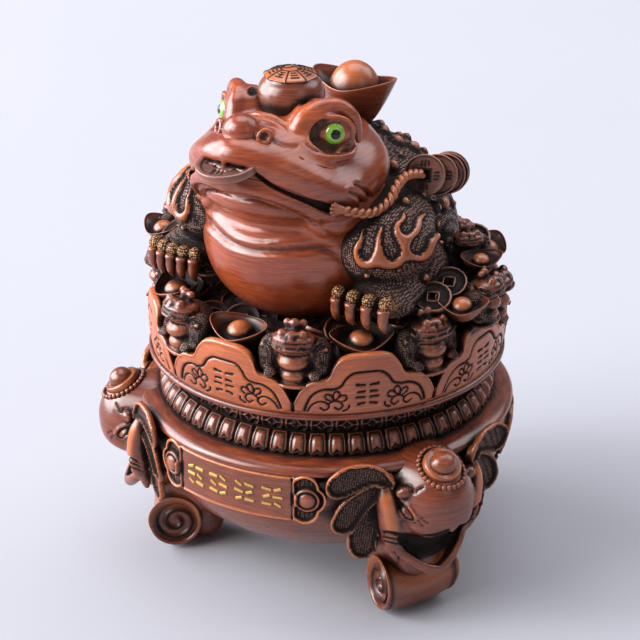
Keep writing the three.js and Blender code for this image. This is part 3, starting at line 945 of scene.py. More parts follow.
class Workshop:
    """Makes objects from meshes in millimetres, keeps them, and hands them to the frame."""

    seam: float = 0.02  # points nearer than this are one

    def __init__(self) -> None:
        """Starts with no pieces."""
        self.pieces: list[Piece] = []

    def add_mesh(
        self,
        name: str,
        mesh: bpy.types.Mesh,
        turn: float = 0.0,
        smooth: bool = True,
        traits: Optional[dict[str, np.ndarray]] = None,
    ) -> None:
        """Takes a mesh in millimetres round the stand's axis and makes the finished object.

        Args:
            name: Name of the piece.
            mesh: The mesh, in millimetres.
            turn: Degrees to turn it about the stand's axis.
            smooth: Whether its faces are shaded smooth.
            traits: Values for each point, by name.
        """
        mesh.name = name
        points = turned(read_points(mesh), turn) * MM + np.array(AXIS, np.float32)
        write_points(mesh, points)
        mesh.shade_smooth() if smooth else mesh.shade_flat()
        for trait in TRAITS:
            write_trait(mesh, trait, (traits or {}).get(trait))
        bm = bmesh.new()
        bm.from_mesh(mesh)
        bmesh.ops.remove_doubles(bm, verts=bm.verts[:], dist=self.seam * MM)
        bmesh.ops.recalc_face_normals(bm, faces=bm.faces[:])
        bm.to_mesh(mesh)
        bm.free()
        thing = object_of(name, mesh)
        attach(thing, BODY)
        self.pieces.append(Piece(name, thing))
        LOG.info("%s: %d faces", name, len(mesh.polygons))

    def add_skin(self, skin: Skin, turn: float = 0.0) -> None:
        """Makes the finished object of a carved skin."""
        write_points(skin.mesh, skin.points)
        self.add_mesh(skin.name, skin.mesh, turn, traits={trait: getattr(skin, trait) for trait in TRAITS})

    def add_copies(
        self, name: str, skin: Skin, places: Sequence[Matrix], turn: float = 0.0
    ) -> None:
        """Makes one finished object of many copies of a carved skin.

        Args:
            name: Name of the object.
            skin: The skin, carved about its own origin.
            places: Where each copy goes.
            turn: Degrees to turn them all about the stand's axis.
        """
        write_points(skin.mesh, skin.points)
        traits = {trait: np.tile(getattr(skin, trait), len(places)) for trait in TRAITS}
        self.add_mesh(name, copied(skin.mesh, places, name), turn, traits=traits)


# Finishes


class Wire:
    """A shader socket that can be used in sums and products."""

    def __init__(self, board: "Board", socket: bpy.types.NodeSocket) -> None:
        """Wraps a socket of the board."""
        self.board = board
        self.socket = socket

    def _maths(self, operation: str, *values: "Wire | float", clamp: bool = False) -> "Wire":
        """A Math node over the values."""
        return self.board.node("ShaderNodeMath", {"operation": operation, "use_clamp": clamp}, *values)

    def __add__(self, other: "Wire | float") -> "Wire":
        """The sum."""
        return self._maths("ADD", self, other)

    __radd__ = __add__

    def __mul__(self, other: "Wire | float") -> "Wire":
        """The product."""
        return self._maths("MULTIPLY", self, other)

    __rmul__ = __mul__

    def __sub__(self, other: "Wire | float") -> "Wire":
        """The difference."""
        return self._maths("SUBTRACT", self, other)

    def __rsub__(self, other: "Wire | float") -> "Wire":
        """The difference, from a number."""
        return self._maths("SUBTRACT", other, self)

    def clamped(self) -> "Wire":
        """The value held between 0 and 1."""
        return self._maths("ADD", self, 0.0, clamp=True)

    def between(self, low: float, high: float) -> "Wire":
        """A smooth rise from 0 at low to 1 at high."""
        settings = {"interpolation_type": "SMOOTHSTEP"}
        return self.board.node("ShaderNodeMapRange", settings, self, low, high, 0.0, 1.0)


class Board:
    """A material's node tree, with one method that makes any node."""

    def __init__(self, name: str) -> None:
        """Starts a material with no nodes.

        Args:
            name: Name of the material.
        """
        self.material = bpy.data.materials.new(name)
        self.material.use_nodes = True
        self.tree = self.material.node_tree
        self.tree.nodes.clear()

    def node(self, kind: str, settings: Optional[dict] = None, *values: object, **named: object) -> Wire:
        """Makes a node.

        Args:
            kind: The node's type.
            settings: Its properties, such as a Math node's operation or a ramp's stops, set first.
            values: Values or wires for its sockets, in order.
            named: Values or wires for its sockets, by name with underscores for spaces.

        Returns:
            Its first output that is switched on.
        """
        made = self.tree.nodes.new(kind)
        for key, value in (settings or {}).items():
            if key == "stops":
                self._set_stops(made.color_ramp, value)
            else:
                setattr(made, key, value)
        sockets = [s for s in made.inputs if s.enabled]
        for socket, value in zip(sockets, values):
            self._feed(socket, value)
        for key, value in named.items():
            wanted = key.replace("_", " ")
            self._feed(next(s for s in sockets if s.name == wanted), value)
        return Wire(self, next(s for s in made.outputs if s.enabled))

    def _feed(self, socket: bpy.types.NodeSocket, value: object) -> None:
        """Links a wire to a socket, or sets its value.

        Args:
            socket: The input.
            value: A wire, a value, or nothing.
        """
        if isinstance(value, Wire):
            self.tree.links.new(value.socket, socket)
        elif value is not None:
            socket.default_value = value

    @staticmethod
    def _set_stops(ramp: bpy.types.ColorRamp, stops: Sequence[tuple[float, Sequence[float]]]) -> None:
        """Sets a ramp's stops.

        Args:
            ramp: The ramp.
            stops: Place and colour of each stop.
        """
        while len(ramp.elements) < len(stops):
            ramp.elements.new(0.5)
        for element, (place, colour) in zip(ramp.elements, stops):
            element.position, element.color = place, (*colour, 1.0)

    def trait(self, name: str) -> Wire:
        """One of the mesh's own values."""
        made = self.node("ShaderNodeAttribute", {"attribute_name": name})
        return Wire(self, made.socket.node.outputs["Fac"])

    def place(self) -> Wire:
        """Place on the object."""
        made = self.node("ShaderNodeTexCoord")
        return Wire(self, made.socket.node.outputs["Object"])

    def mapped(self, vector: Wire, scale: Triple, turn: Triple = (0.0, 0.0, 0.0)) -> Wire:
        """A place turned and scaled."""
        return self.node("ShaderNodeMapping", None, vector, Rotation=turn, Scale=scale)

    def noise(self, vector: Wire, scale: float, detail: float = 3.0, roughness: float = 0.5) -> Wire:
        """Soft noise."""
        return self.node("ShaderNodeTexNoise", None, vector, Scale=scale, Detail=detail, Roughness=roughness)

    def mixed(self, share: Wire | float, first: object, second: object) -> Wire:
        """Two colours mixed.

        Args:
            share: Share of the second colour.
            first: A colour or a wire.
            second: A colour or a wire.

        Returns:
            The mixed colour.
        """
        made = self.tree.nodes.new("ShaderNodeMix")
        made.data_type, made.blend_type, made.clamp_factor = "RGBA", "MIX", True
        self._feed(made.inputs[0], share)
        self._feed(made.inputs[6], first if isinstance(first, Wire) else (*first, 1.0))
        self._feed(made.inputs[7], second if isinstance(second, Wire) else (*second, 1.0))
        return Wire(self, made.outputs[2])

    def principled(self, **named: object) -> Wire:
        """The Principled shader, with values or wires for its sockets by name."""
        return self.node("ShaderNodeBsdfPrincipled", None, **named)

    def finish(self, surface: Wire) -> bpy.types.Material:
        """Links the surface and returns the material.

        Args:
            surface: The shader.

        Returns:
            The material.
        """
        out = self.tree.nodes.new("ShaderNodeOutputMaterial")
        self.tree.links.new(surface.socket, out.inputs["Surface"])
        return self.material


@dataclass(frozen=True)
class AntiqueResin:
    """Cast resin stained red-brown, washed dark in its hollows, darkened with painted shade where pieces crowd each
    other, and rubbed orange on its edges.
    """

    name: str = "antique_resin"
    deep: Triple = (0.036, 0.010, 0.006)
    middle: Triple = (0.135, 0.030, 0.013)
    warm: Triple = (0.31, 0.072, 0.024)
    rubbed: Triple = (0.56, 0.155, 0.038)
    dots: Triple = (0.26, 0.13, 0.095)
    dots_gilt: Triple = (0.50, 0.22, 0.045)
    # colour of the dark wash and of the painted shade
    wash_and_shade: Triple = (0.010, 0.005, 0.004)
    roughness: float = 0.26
    streak: float = 0.55
    stipple_pitch: float = 1.2  # millimetres between the dots
    dot_edge: Pair = (0.24, 0.68)  # where a dot's dome starts to fall and where it ends, as shares of the pitch
    broad_brush: Triple = (70.0, 70.0, 1300.0)
    fine_brush: Triple = (160.0, 160.0, 3600.0)
    clouds: float = 26.0
    wear: float = 420.0
    relief: float = 0.9  # height of the bump in millimetres

    def build(self) -> bpy.types.Material:
        """Makes the material."""
        board = Board(self.name)
        place = board.place()
        brushed = board.noise(board.mapped(place, self.broad_brush, (0.03, -0.02, 0.0)), 1.0, 3.0, 0.55)
        fine = board.noise(board.mapped(place, self.fine_brush, (-0.02, 0.03, 0.0)), 1.0, 2.0, 0.6)
        cloudy = board.noise(place, self.clouds, 3.0, 0.55)
        tone = (brushed * self.streak + fine * 0.3 + cloudy * (1.05 - self.streak)).clamped()
        stops = [(0.30, self.deep), (0.62, self.middle), (0.92, self.warm)]
        ground = board.node("ShaderNodeValToRGB", {"stops": stops}, tone)
        wash_and_shade, rub, stain_and_shade, glow, stipple = map(board.trait, ("wash_and_shade", "rub", "stain_and_shade", "glow", "stipple"))

        pitch = self.stipple_pitch * MM
        cells = board.node("ShaderNodeTexVoronoi", {"feature": "F1"}, place, Scale=1.0 / pitch, Randomness=0.4)
        dome = 1 - Wire(board, cells.socket.node.outputs["Distance"]).between(*self.dot_edge)
        pits = stipple * (1 - dome)

        edge_noise = board.noise(place, self.wear, 2.0, 0.6)
        rubbed = (rub * 0.6 + glow * 0.8 + (edge_noise - 0.5) * rub * 0.7).clamped()
        colour = board.mixed(rubbed, ground, self.rubbed)
        dotted = board.mixed((glow * 1.6).clamped(), self.dots, self.dots_gilt)
        colour = board.mixed(stipple * 0.9, colour, dotted)
        # the dark share holds the wash, the stains, the stipple's pits, the painted shade of crowded places and the
        # painted shade of the elephants' open mouths
        dark = (wash_and_shade + stain_and_shade * 1.5 + pits * 0.97).clamped()
        colour = board.mixed(dark, colour, self.wash_and_shade)

        sheen = (self.roughness + dark * 0.22 + (cloudy - 0.5) * 0.12 + stipple * 0.05).clamped()
        height = stipple * dome * 0.55 + (brushed + fine * 0.5) * 0.035
        bump = board.node("ShaderNodeBump", None, Strength=0.9, Distance=self.relief * MM, Height=height)
        glossy = board.principled(Base_Color=colour, Roughness=sheen, Metallic=0.0, IOR=1.62, Normal=bump)
        # a matte dark shader mixed in for the wash and the painted shade
        grime_and_shade = board.principled(Base_Color=(*self.wash_and_shade, 1.0), Roughness=0.9, IOR=1.2)
        return board.finish(board.node("ShaderNodeMixShader", None, dark * 0.85, glossy, grime_and_shade))


@dataclass(frozen=True)
class PlainFinish:
    """A plain shader with a little variation, for the glass, the gilding and the floor."""

    name: str
    colour: Triple
    roughness: float
    metallic: float = 0.0
    coat: float = 0.0
    variation: float = 0.12
    grain: float = 60.0

    def build(self) -> bpy.types.Material:
        """Makes the material."""
        board = Board(self.name)
        noise = board.noise(board.place(), self.grain, 3.0, 0.5)
        darker = tuple(c * (1 - self.variation * 2) for c in self.colour)
        colour = board.mixed(noise, darker, self.colour)
        sheen = {"Roughness": self.roughness, "Metallic": self.metallic, "Coat_Weight": self.coat}
        return board.finish(board.principled(Base_Color=colour, **sheen))


# The stand


def standing_at(radius: float, bearing: float, height: float) -> Matrix:
    """Where a thing modelled at the origin, its front towards -y, goes to face outwards at a bearing.

    Args:
        radius: Distance from the axis.
        bearing: Degrees round the axis from the front side.
        height: Height above the floor.

    Returns:
        The place as a matrix.
    """
    a = math.radians(bearing)
    spot = Vector((radius * math.sin(a), -radius * math.cos(a), height))
    return Matrix.Translation(spot) @ Matrix.Rotation(a, 4, "Z")


def spun(name: str, outline: Sequence[Pair], steps: int = 256) -> bpy.types.Mesh:
    """Spins an outline about the axis.

    Args:
        name: Name of the mesh.
        outline: Radius and height of its points.
        steps: Faces round the axis.

    Returns:
        The closed mesh.
    """
    bm = bmesh.new()
    points = [bm.verts.new((0.0, -r, z)) for r, z in outline]
    edges = [bm.edges.new(pair) for pair in zip(points, points[1:])]
    bmesh.ops.spin(bm, geom=points + edges, cent=(0, 0, 0), axis=(0, 0, 1), angle=TAU, steps=steps, use_merge=True)
    bmesh.ops.remove_doubles(bm, verts=bm.verts[:], dist=0.01)
    bmesh.ops.recalc_face_normals(bm, faces=bm.faces[:])
    return mesh_of(bm, name)


@dataclass
class Bowl:
    """The stand's bowl with its shoulder and neck."""

    body: tuple[Pair, ...] = (
        (0, 28), (40, 28), (50, 28.3), (62, 31), (74, 37.5), (85, 48), (92, 59), (96.5, 70), (98.5, 78), (99, 85),
    )
    groove: tuple[Pair, ...] = (
        (99, 85), (98.9, 87.6), (98.3, 88.3), (96.8, 88.9), (96.5, 89.8), (97.4, 90.5), (99.4, 90.9),
    )
    shoulder: tuple[Pair, ...] = (
        (99.4, 90.9), (100.6, 92), (100.4, 93.6), (99, 95.2), (96, 96.6), (92, 97.3), (86, 97.6),
    )
    neck: tuple[Pair, ...] = (
        (82, 98), (78.6, 101), (78.4, 104), (79, 105), (79, 117.4), (80.5, 118), (82.5, 118.6), (82.5, 119.7),
        (0, 119.7),
    )

    steps: int = 200

    def outline(self) -> list[Pair]:
        """Radius and height along the skin, from under the middle to the top of the neck."""
        smooth = [tuple(p) for line in (self.body, self.groove, self.shoulder) for p in smooth_line(line, 5)[:-1]]
        return [*smooth, *self.neck]

    def radius(self, height: np.ndarray) -> np.ndarray:
        """Radius of the bowl at a height below its groove."""
        line = smooth_line(self.body, 7)[8:]
        return np.interp(height, line[:, 1], line[:, 0])

    def build(self, shop: Workshop) -> None:
        """Spins the bowl."""
        shop.add_mesh("stand_bowl", spun("stand_bowl", self.outline(), self.steps))


@dataclass
class PetalBorder:
    """The ring of small scalloped petals on the shoulder."""

    count: int = 56
    low: Pair = (89.6, 97.2)  # radius and height of the border's lower edge
    high: Pair = (82.4, 108.2)
    radius: float = 86.0  # where the petals' width is measured
    length: float = 13.1
    half_width: float = 4.4
    head: float = 12.0
    across: int = 16  # faces over a petal
    along: int = 21

    def carve(self, skin: Skin) -> None:
        """Domes each petal, with a double rim and a cupid's-bow tip.

        Args:
            skin: The skin to carve.
        """
        across = nearest_spot(skin.flat[:, 0], self.count) * math.radians(1) * self.radius
        side = np.abs(across)
        along = skin.flat[:, 1] * self.length
        half = self.half_width - 0.35 * smoothstep(7, 11, along)
        bow = 1.15 + 0.6 * bell(across, 0.7) - 0.55 * bell(side - 2.0, 1.1)
        bow += 1.3 * smoothstep(2.9, self.half_width, side)
        edge = np.minimum(np.minimum(half - side, along - bow), self.head - along)
        inside = smoothstep(-0.35, 0.35, edge)
        rim = smoothstep(0.2, 0.7, edge) * (1 - smoothstep(1.1, 1.5, edge))
        dome = smoothstep(1.4, 3.2, edge)
        skin.height += inside * 1.3 + rim * 0.45 + dome * 1.15 - 0.6
        skin.stain_and_shade = np.maximum(1 - inside, bell(edge - 1.45, 0.35) * 0.85)
        skin.glow = dome * 0.08 + rim * 0.12

    def shape(self, degrees: np.ndarray, share: np.ndarray) -> np.ndarray:
        """The sloping band that the petals lie on.

        Args:
            degrees: Bearings round the axis.
            share: How far along the way each place lies.

        Returns:
            The places in space.
        """
        bulge = 1.6 * np.sin(np.pi * np.clip(share, 0, 1))
        radius = self.low[0] + (self.high[0] - self.low[0]) * share + bulge * 0.8
        return round_the_axis(radius, degrees, self.low[1] + (self.high[1] - self.low[1]) * share + bulge * 0.5)

    def build(self, shop: Workshop) -> None:
        """Makes the ring.

        Args:
            shop: Takes the finished pieces.
        """
        grain = (360 / (self.count * self.across), 1 / self.along)
        skin = weave("petal_border", (0, 0), (360, 1), grain, self.shape)
        self.carve(skin)
        shop.add_skin(carved(skin))


@dataclass
class CoinBand:
    """The neck's band of square-holed coins."""

    count: int = 40
    radius: float = 80.6
    low: float = 103.6
    high: float = 118.2
    middle: float = 110.8
    ring: float = 5.5
    corner: float = 4.1
    seams: Pair = (104.4, 117.6)
    across: int = 20  # faces over a coin
    grain: float = 0.56

    def carve(self, skin: Skin) -> None:
        """Raises a ring and a hollow-sided square for each coin.

        Args:
            skin: The skin to carve.
        """
        across = nearest_spot(skin.flat[:, 0], self.count) * math.radians(1) * 82
        up = skin.flat[:, 1] - self.middle
        away = np.hypot(across, up)
        ring = bell(away - self.ring, 0.62)
        corner = np.hypot(np.abs(across) - self.corner, np.abs(up) - self.corner)
        inner = bell(np.abs(corner - self.corner), 0.5) * (away < 5.2)
        lines = np.maximum(ring, inner * 0.85)
        edge = np.maximum(*(bell(skin.flat[:, 1] - seam, 0.7) for seam in self.seams))
        skin.height += lines * 1.5 + edge * 1.2
        skin.stain_and_shade = np.clip(1 - lines * 1.6 - edge, 0, 1) * 0.95
        skin.glow = lines * 0.35

    def build(self, shop: Workshop) -> None:
        """Makes the band.

        Args:
            shop: Takes the finished pieces.
        """
        grain = (360 / (self.count * self.across), self.grain)
        drum: Relief = lambda a, z: round_the_axis(self.radius + 0 * a, a, z)
        skin = weave("coin_band", (0, self.low), (360, self.high), grain, drum)
        self.carve(skin)
        shop.add_skin(carved(skin))


@dataclass
class Plaque:
    """The board on the bowl's front, with a lobed cap and a boss at each end and rows of gilt strokes."""

    half_board: float = 33.5
    half_height: float = 12.7
    middle: float = 78.7
    low: Pair = (-52, 62.5)
    high: Pair = (52, 95)
    grain: float = 0.45
    radius: float = 97.0
    boss: float = 40.5
    leans: tuple[float, ...] = (-0.35, 0.05, 0.5, 0.18)

    def shape(self, arc: np.ndarray, height: np.ndarray) -> np.ndarray:
        """The upright drum behind the board."""
        return round_the_axis(self.radius + 0 * arc, np.degrees(arc / 100), height)

    def carve(self, skin: Skin) -> None:
        """Raises the board, its edges, its caps and the bosses.

        Args:
            skin: The skin to carve.
        """
        x, up = np.abs(skin.flat[:, 0]), skin.flat[:, 1] - self.middle
        board = np.minimum(self.half_board + 3 - x, self.half_height - np.abs(up))
        lobes = np.maximum(7.6 - np.hypot(x - 39.5, np.abs(up) - 6.6), 8.2 - np.hypot(x - 42.5, up))
        inside = smoothstep(-0.6, 0.5, np.maximum(board, lobes))
        skin.height += -4.0 + 7.4 * inside
        frame_line = bell(board - 0.9, 0.8) * (x < self.half_board + 0.5)
        skin.height += frame_line * 0.5
        in_cap = smoothstep(0.0, 0.6, lobes) * smoothstep(self.half_board - 1.6, self.half_board - 0.4, x)
        sunk = smoothstep(1.6, 2.5, lobes) * smoothstep(self.half_board + 0.2, self.half_board + 1.4, x)
        skin.height += in_cap * 0.9 - sunk * 1.7
        skin.dot(sunk)
        skin.gild(in_cap * (1 - sunk) * 0.25)
        away = np.hypot(x - self.boss, up)
        skin.height += smoothstep(6.9, 6.2, away) * 1.6 + bell(away - 5.7, 0.6) * 0.6
        skin.height += np.sqrt(np.maximum(1 - (away / 4.2) ** 2, 0)) * 2.0
        skin.darken(bell(away - 4.5, 0.45) + bell(away - 7.2, 0.5) * 0.6)
        skin.stipple *= smoothstep(6.4, 7.0, away)
        skin.gild(smoothstep(4.2, 2.5, away) * 0.3)
        curl = np.abs(np.hypot(x - 36.6, np.abs(up) - 8.6) - 2.1)
        skin.groove(curl, 0.45, 0.8, sunk < 0.5)
        seam = np.abs(x - self.half_board + 0.6)
        skin.groove(seam, 0.5, 0.9, (np.abs(up) < 12.2).astype(float))

    def strokes(self) -> bpy.types.Mesh:
        """Short gilt strokes in four groups; they spell nothing."""
        bm = bmesh.new()
        for group, row, column in product(range(4), range(3), range(2)):
            turn = row + column + group
            x = -22.6 + 15.1 * group + (column * 2 - 1) * 2.9
            z = self.middle + 4.4 - 4.3 * row
            place = Matrix.Rotation(x / 100, 4, "Z") @ Matrix.Translation((0, -100.6, z))
            size = Matrix.Diagonal((4.0 + 1.2 * (turn % 2), 0.9, 1.5, 1.0))
            lean = Matrix.Rotation(self.leans[turn % 4], 4, "Y")
            bmesh.ops.create_cube(bm, size=1.0, matrix=place @ lean @ size)
        bmesh.ops.bevel(bm, geom=bm.edges[:], offset=0.25, segments=2, affect="EDGES", profile=0.5, material=-1)
        return mesh_of(bm, "plaque_strokes")

    def build(self, shop: Workshop) -> None:
        """Makes the board and its strokes.

        Args:
            shop: Takes the finished pieces.
        """
        skin = weave("stand_plaque", self.low, self.high, self.grain, self.shape)
        self.carve(skin)
        shop.add_skin(carved(skin))
        shop.add_mesh("plaque_strokes", self.strokes(), smooth=False)


@dataclass
class SideScrolls:
    """Curled scrolls in relief on the bowl between the elephants, left and right."""

    bowl: Bowl
    bearing: float = 120.0
    low: Pair = (-33, 53)
    high: Pair = (33, 90)
    curls: tuple[tuple[Pair, ...], ...] = (
        ((0, 88), (5, 84.5), (11, 84), (16, 80), (16, 74.5), (11.5, 71.5), (7.5, 74.5), (8.5, 78.5), (12, 78.5)),
        ((11, 84), (18, 86.5), (24, 85), (28, 79.5), (26.5, 73.5), (21.5, 72.5), (19.8, 76.5), (22.5, 79)),
        ((16, 74.5), (17.5, 68), (23, 64.5), (28, 67), (28, 71)),
        ((11.5, 71.5), (6, 67), (4.5, 61), (9, 57.5), (13, 60.5), (11.5, 64.5), (8.7, 63.5)),
        ((17.5, 68), (16.5, 61.5), (20.5, 57.5), (24.5, 60)),
        ((0, 80), (2.6, 75), (0, 70)),
    )

    def shape(self, arc: np.ndarray, height: np.ndarray) -> np.ndarray:
        """The bowl's skin."""
        return round_the_axis(self.bowl.radius(height) - 0.9, np.degrees(arc / 98) + self.bearing, height)

    def carve(self, skin: Skin) -> None:
        """Raises the curls from a dark ground.

        Args:
            skin: The skin to carve.
        """
        aside, height = np.abs(skin.flat[:, 0]), skin.flat[:, 1]
        skin.flat = np.stack([aside, height], axis=1).astype(np.float32)
        gap = np.min([skin.drawn(curl) for curl in self.curls], axis=0)
        body = 1 - smoothstep(1.5, 2.2, gap)
        field_edge = np.minimum(31.5 - aside, np.minimum(height - 54.5, 87.6 - height))
        skin.height += body * 2.6 + bell(gap - 1.35, 0.5) * 0.4
        skin.groove(gap, 0.45, 0.5)
        skin.stain_and_shade = np.maximum(skin.stain_and_shade * 0.6, (1 - body) * smoothstep(6.0, 2.4, gap) * 0.9)
        skin.height += smoothstep(6.0, 2.6, gap) * 0.6 - smoothstep(1.0, -1.0, field_edge) * 3
        skin.glow = body * 0.15

    def build(self, shop: Workshop) -> None:
        """Makes the two scrolls.

        Args:
            shop: Takes the finished pieces.
        """
        for side, bearing in (("right", self.bearing), ("left", -self.bearing)):
            skin = weave(f"{side}_side_scrolls", self.low, self.high, 0.6, replace(self, bearing=bearing).shape)
            self.carve(skin)
            shop.add_skin(carved(skin))


@dataclass
class Elephant:
    """An elephant's head that carries the stand, on a curled roll for a foot; modelled facing the front."""

    bearings: tuple[float, ...] = (60.0, -60.0, 180.0)
    grain: float = 1.05
    leg_grain: float = 1.6
    ear_grain: float = 1.0
    roll_grain: Pair = (4.5, 0.18)
    jewel: Triple = (0.0, -111.0, 96.0)
    jewel_out: Triple = (0, -0.52, 0.86)
    jewel_radii: Triple = (7.1, 6.6, 6.4)
    beads: int = 28
    bead_ring: float = 13.4
    bead: float = 1.45
    roll: Pair = (83.5, 13.6)  # how far out the curled foot lies, and the height of its middle
    ear_root: Triple = (24.3, -100.3, 87.8)
    ear_across: Triple = (0.90, 0.42, -0.05)
    ear_up: Triple = (0.05, -0.10, 0.99)
    lobes: tuple[tuple[Triple, ...], ...] = (
        ((0, 0.5, 2.6), (7, 5.6, 5.4), (14, 6.4, 7.2), (20.5, 5.0, 8.2), (24.5, 3.0, 7.8)),
        ((0.9, -1.2, 2.4), (10.2, -5.8, 5.4), (18.4, -13.6, 7.4), (22.2, -20.5, 7.4)),
        ((0, -5.0, 2.4), (5.8, -14.4, 5.4), (10.2, -24.6, 7.4), (12.8, -33, 8.0), (12.4, -38.6, 7.0)),
    )
    brow: tuple[Pair, ...] = (
        (400, 486.4), (397.1, 489.5), (397.9, 494.3), (401.4, 500), (407.1, 504.3), (412.9, 511.4), (417.1, 518.6),
    )
    knob_ring: tuple[Pair, ...] = (
        (398.5, 489), (402, 485.5), (407, 485), (411.8, 488), (413.4, 493), (418, 490), (423, 487.5),
    )
    eye: tuple[Pair, ...] = (
        (400, 505.7), (403.6, 504.6), (408.6, 509.3), (412.9, 517.1), (411.4, 520), (405.7, 517.9), (401.4, 512.1),
    )
    lower_lid: tuple[Pair, ...] = ((397.6, 503), (397.6, 510), (401, 517.3), (408, 522), (415, 523))
    lip: tuple[Pair, ...] = (
        (383, 532.9), (394.3, 534.3), (405.7, 535.9), (420, 537.9), (434.3, 536.4), (448.6, 531.5),
    )
    bands: tuple[tuple[Pair, ...], ...] = (
        ((382.9, 537), (394, 539.5), (408, 541)),
        ((383.5, 541.4), (394, 544), (406, 545.5)),
    )
    wrinkles: tuple[tuple[Pair, ...], ...] = (
        ((418, 521), (423, 527)),
        ((421, 518), (427, 523)),
        ((404, 487), (409, 489)),
    )
    sheath: tuple[Pair, ...] = ((387, 500), (390, 516), (392.5, 530))
    jaw_strip: tuple[Pair, ...] = ((392, 541), (400, 548), (413, 559), (427, 566), (438, 568.5))

    def head(self) -> Clay:
        """The face: forehead, muzzle, cheeks, sheaths, tusks and the open jaw."""
        sheath = Roll(
            ((25.5, -99, 84), (25.8, -101, 77), (24.2, -101.8, 67), (22.4, -101.4, 58.5), (21.2, -100.6, 53)),
            (4.0, 5.4, 6.2, 6.2, 5.6),
            blend=1.6,
        )
        tusk = Roll(((20.5, -100, 53), (19.8, -99, 46), (18.2, -98.6, 40.5)), (3.4, 3.0, 1.6), blend=0.5)
        knob = Lump((19.2, -106.4, 84.4), (3.8, 3.8, 3.4), blend=0.8)
        eye = Lump((18.2, -107.2, 72.4), (4.6, 4.0, 4.2), blend=1.6)
        cheek = Lump((17, -97, 62), (9.5, 10, 14), blend=4)
        jaw = Roll(
            ((23, -99, 53.5), (14.5, -105.2, 43.5), (0, -109.2, 35.2), (-14.5, -105.2, 43.5), (-23, -99, 53.5)),
            (2.3, 3.0, 3.4, 3.0, 2.3),
            blend=1.0,
        )
        return Clay(
            [
                Lump((0, -102, 76), (20.5, 22.5, 22.5)),
                Lump((0, -88, 80), (26, 19, 19.5), blend=8),
                Lump((0, -105.5, 67.5), (18, 15.5, 10), blend=6),
                *both_sides([cheek, knob, eye]),
                Lump((0, -92, 51), (21, 14, 17.5), blend=2),
                Lump((0, -96.6, 50.0), (20.5, 8.4, 15.5), blend=1.5),
                jaw,
                *both_sides([sheath, tusk]),
            ],
            self.grain,
        )

    def leg(self) -> Clay:
        """The short leg from the jaw and the bowl down to the roll, with its heel."""
        return Clay(
            [
                Lump((0, -84, 34), (15.5, 13, 18)),
                Lump((0, -72, 30), (17, 16, 15), blend=6),
                Lump((0, -69, 12), (13.5, 12, 12.5), blend=5),
            ],
            self.leg_grain,
            flat_below=0.0,
        )

    def carve_head(self, skin: Skin) -> None:
        """Draws the brow, the eye, the lip and the bands, and sinks the open mouth and paints shade into it.

        Args:
            skin: The skin to carve.
        """
        def drawn(line: Sequence[Pair], closed: bool = False) -> np.ndarray:
            """Distance to a line that the photograph shows on the elephant."""
            return skin.photo_line(line, closed, ELEPHANT_VIEW, 0.0)

        brow = drawn(self.brow)
        skin.ridge(brow, 0.75, 0.9)
        skin.gild(bell(brow, 0.6) * 0.3)
        skin.groove(drawn(self.knob_ring), 0.6, 0.8, dark=0.5)
        eye = drawn(self.eye, True)
        skin.groove(eye, 0.45, 0.7, dark=1.0)
        skin.ridge(np.abs(eye - 1.2), 0.6, 0.4)
        skin.groove(drawn(self.lower_lid), 0.5, 0.4, dark=0.3)
        skin.groove(drawn(self.lip), 1.0, 1.8, dark=0.9)
        for band in self.bands:
            skin.groove(drawn(band), 0.6, 1.0)
        for wrinkle in self.wrinkles:
            skin.groove(drawn(wrinkle), 0.5, 0.4, dark=0.3)
        pixels = ELEPHANT_VIEW.pixels(skin.points)
        column, row = pixels[:, 0], pixels[:, 1]
        lip_row = np.interp(column, *np.array(self.lip).T)
        strip = skin.photo_line(self.jaw_strip, False, ELEPHANT_VIEW, -1.0)
        mouth = smoothstep(0.5, 2.5, row - lip_row) * smoothstep(1.2, 2.6, strip)
        mouth *= (column > 398) & (skin.points[:, 1] < -90) & (row < np.interp(column, *np.array(self.jaw_strip).T))
        # painted shade: the open mouth under the lip is darkened as if the overhanging lip shaded it
        skin.darken(mouth * 0.9)
        skin.height -= mouth * 1.5
        sheath = skin.photo_line(self.sheath, False, ELEPHANT_VIEW, -0.2)
        skin.gild(smoothstep(4.6, 2.0, sheath) * 0.8)

    def foot_roll(self) -> Skin:
        """The curled roll that touches the floor, a spiral wound on each end."""
        share = [0, 3, 3.25, 3.5, 4, 4.4, 4.7, 5.1, 7, 8.9, 9.3, 9.6, 10, 10.5, 10.75, 11, 14]
        outwards = [15.0, 17.4, 18.6, 19.8, 19.6, 18.0, 17.0, 17.0]
        aside = [*(-x for x in outwards[::-1]), 0, *outwards]
        inwards = [0.05, 10.4, 11.2, 12.6, 13.8, 14.2, 13.9, 13.6]
        reach = [*inwards, 13.4, *inwards[::-1]]

        def shape(degrees: np.ndarray, step: np.ndarray) -> np.ndarray:
            """The roll's skin, from the middle of one end to the other's.

            Args:
                degrees: Bearings round the axis.
                step: How far along the way each place lies.

            Returns:
                The places in space.
            """
            a = np.radians(degrees)
            x, r = np.interp(step, share, aside), np.interp(step, share, reach)
            flare = 2.6 * np.clip(r / 15, 0, 1) * (np.abs(x) / 19) ** 3 * np.clip(np.sin(a + 0.3), 0, 1)
            radius = r + flare
            x = x + np.sign(x) * 2.4 * np.cos(a) * radius / 15 * smoothstep(10, 18, np.abs(x))
            height = np.maximum(self.roll[1] + 3.6 * (x / 19.8) ** 2 + radius * np.sin(a), 0.0)
            return np.stack([x, -self.roll[0] - radius * np.cos(a), height], axis=1)

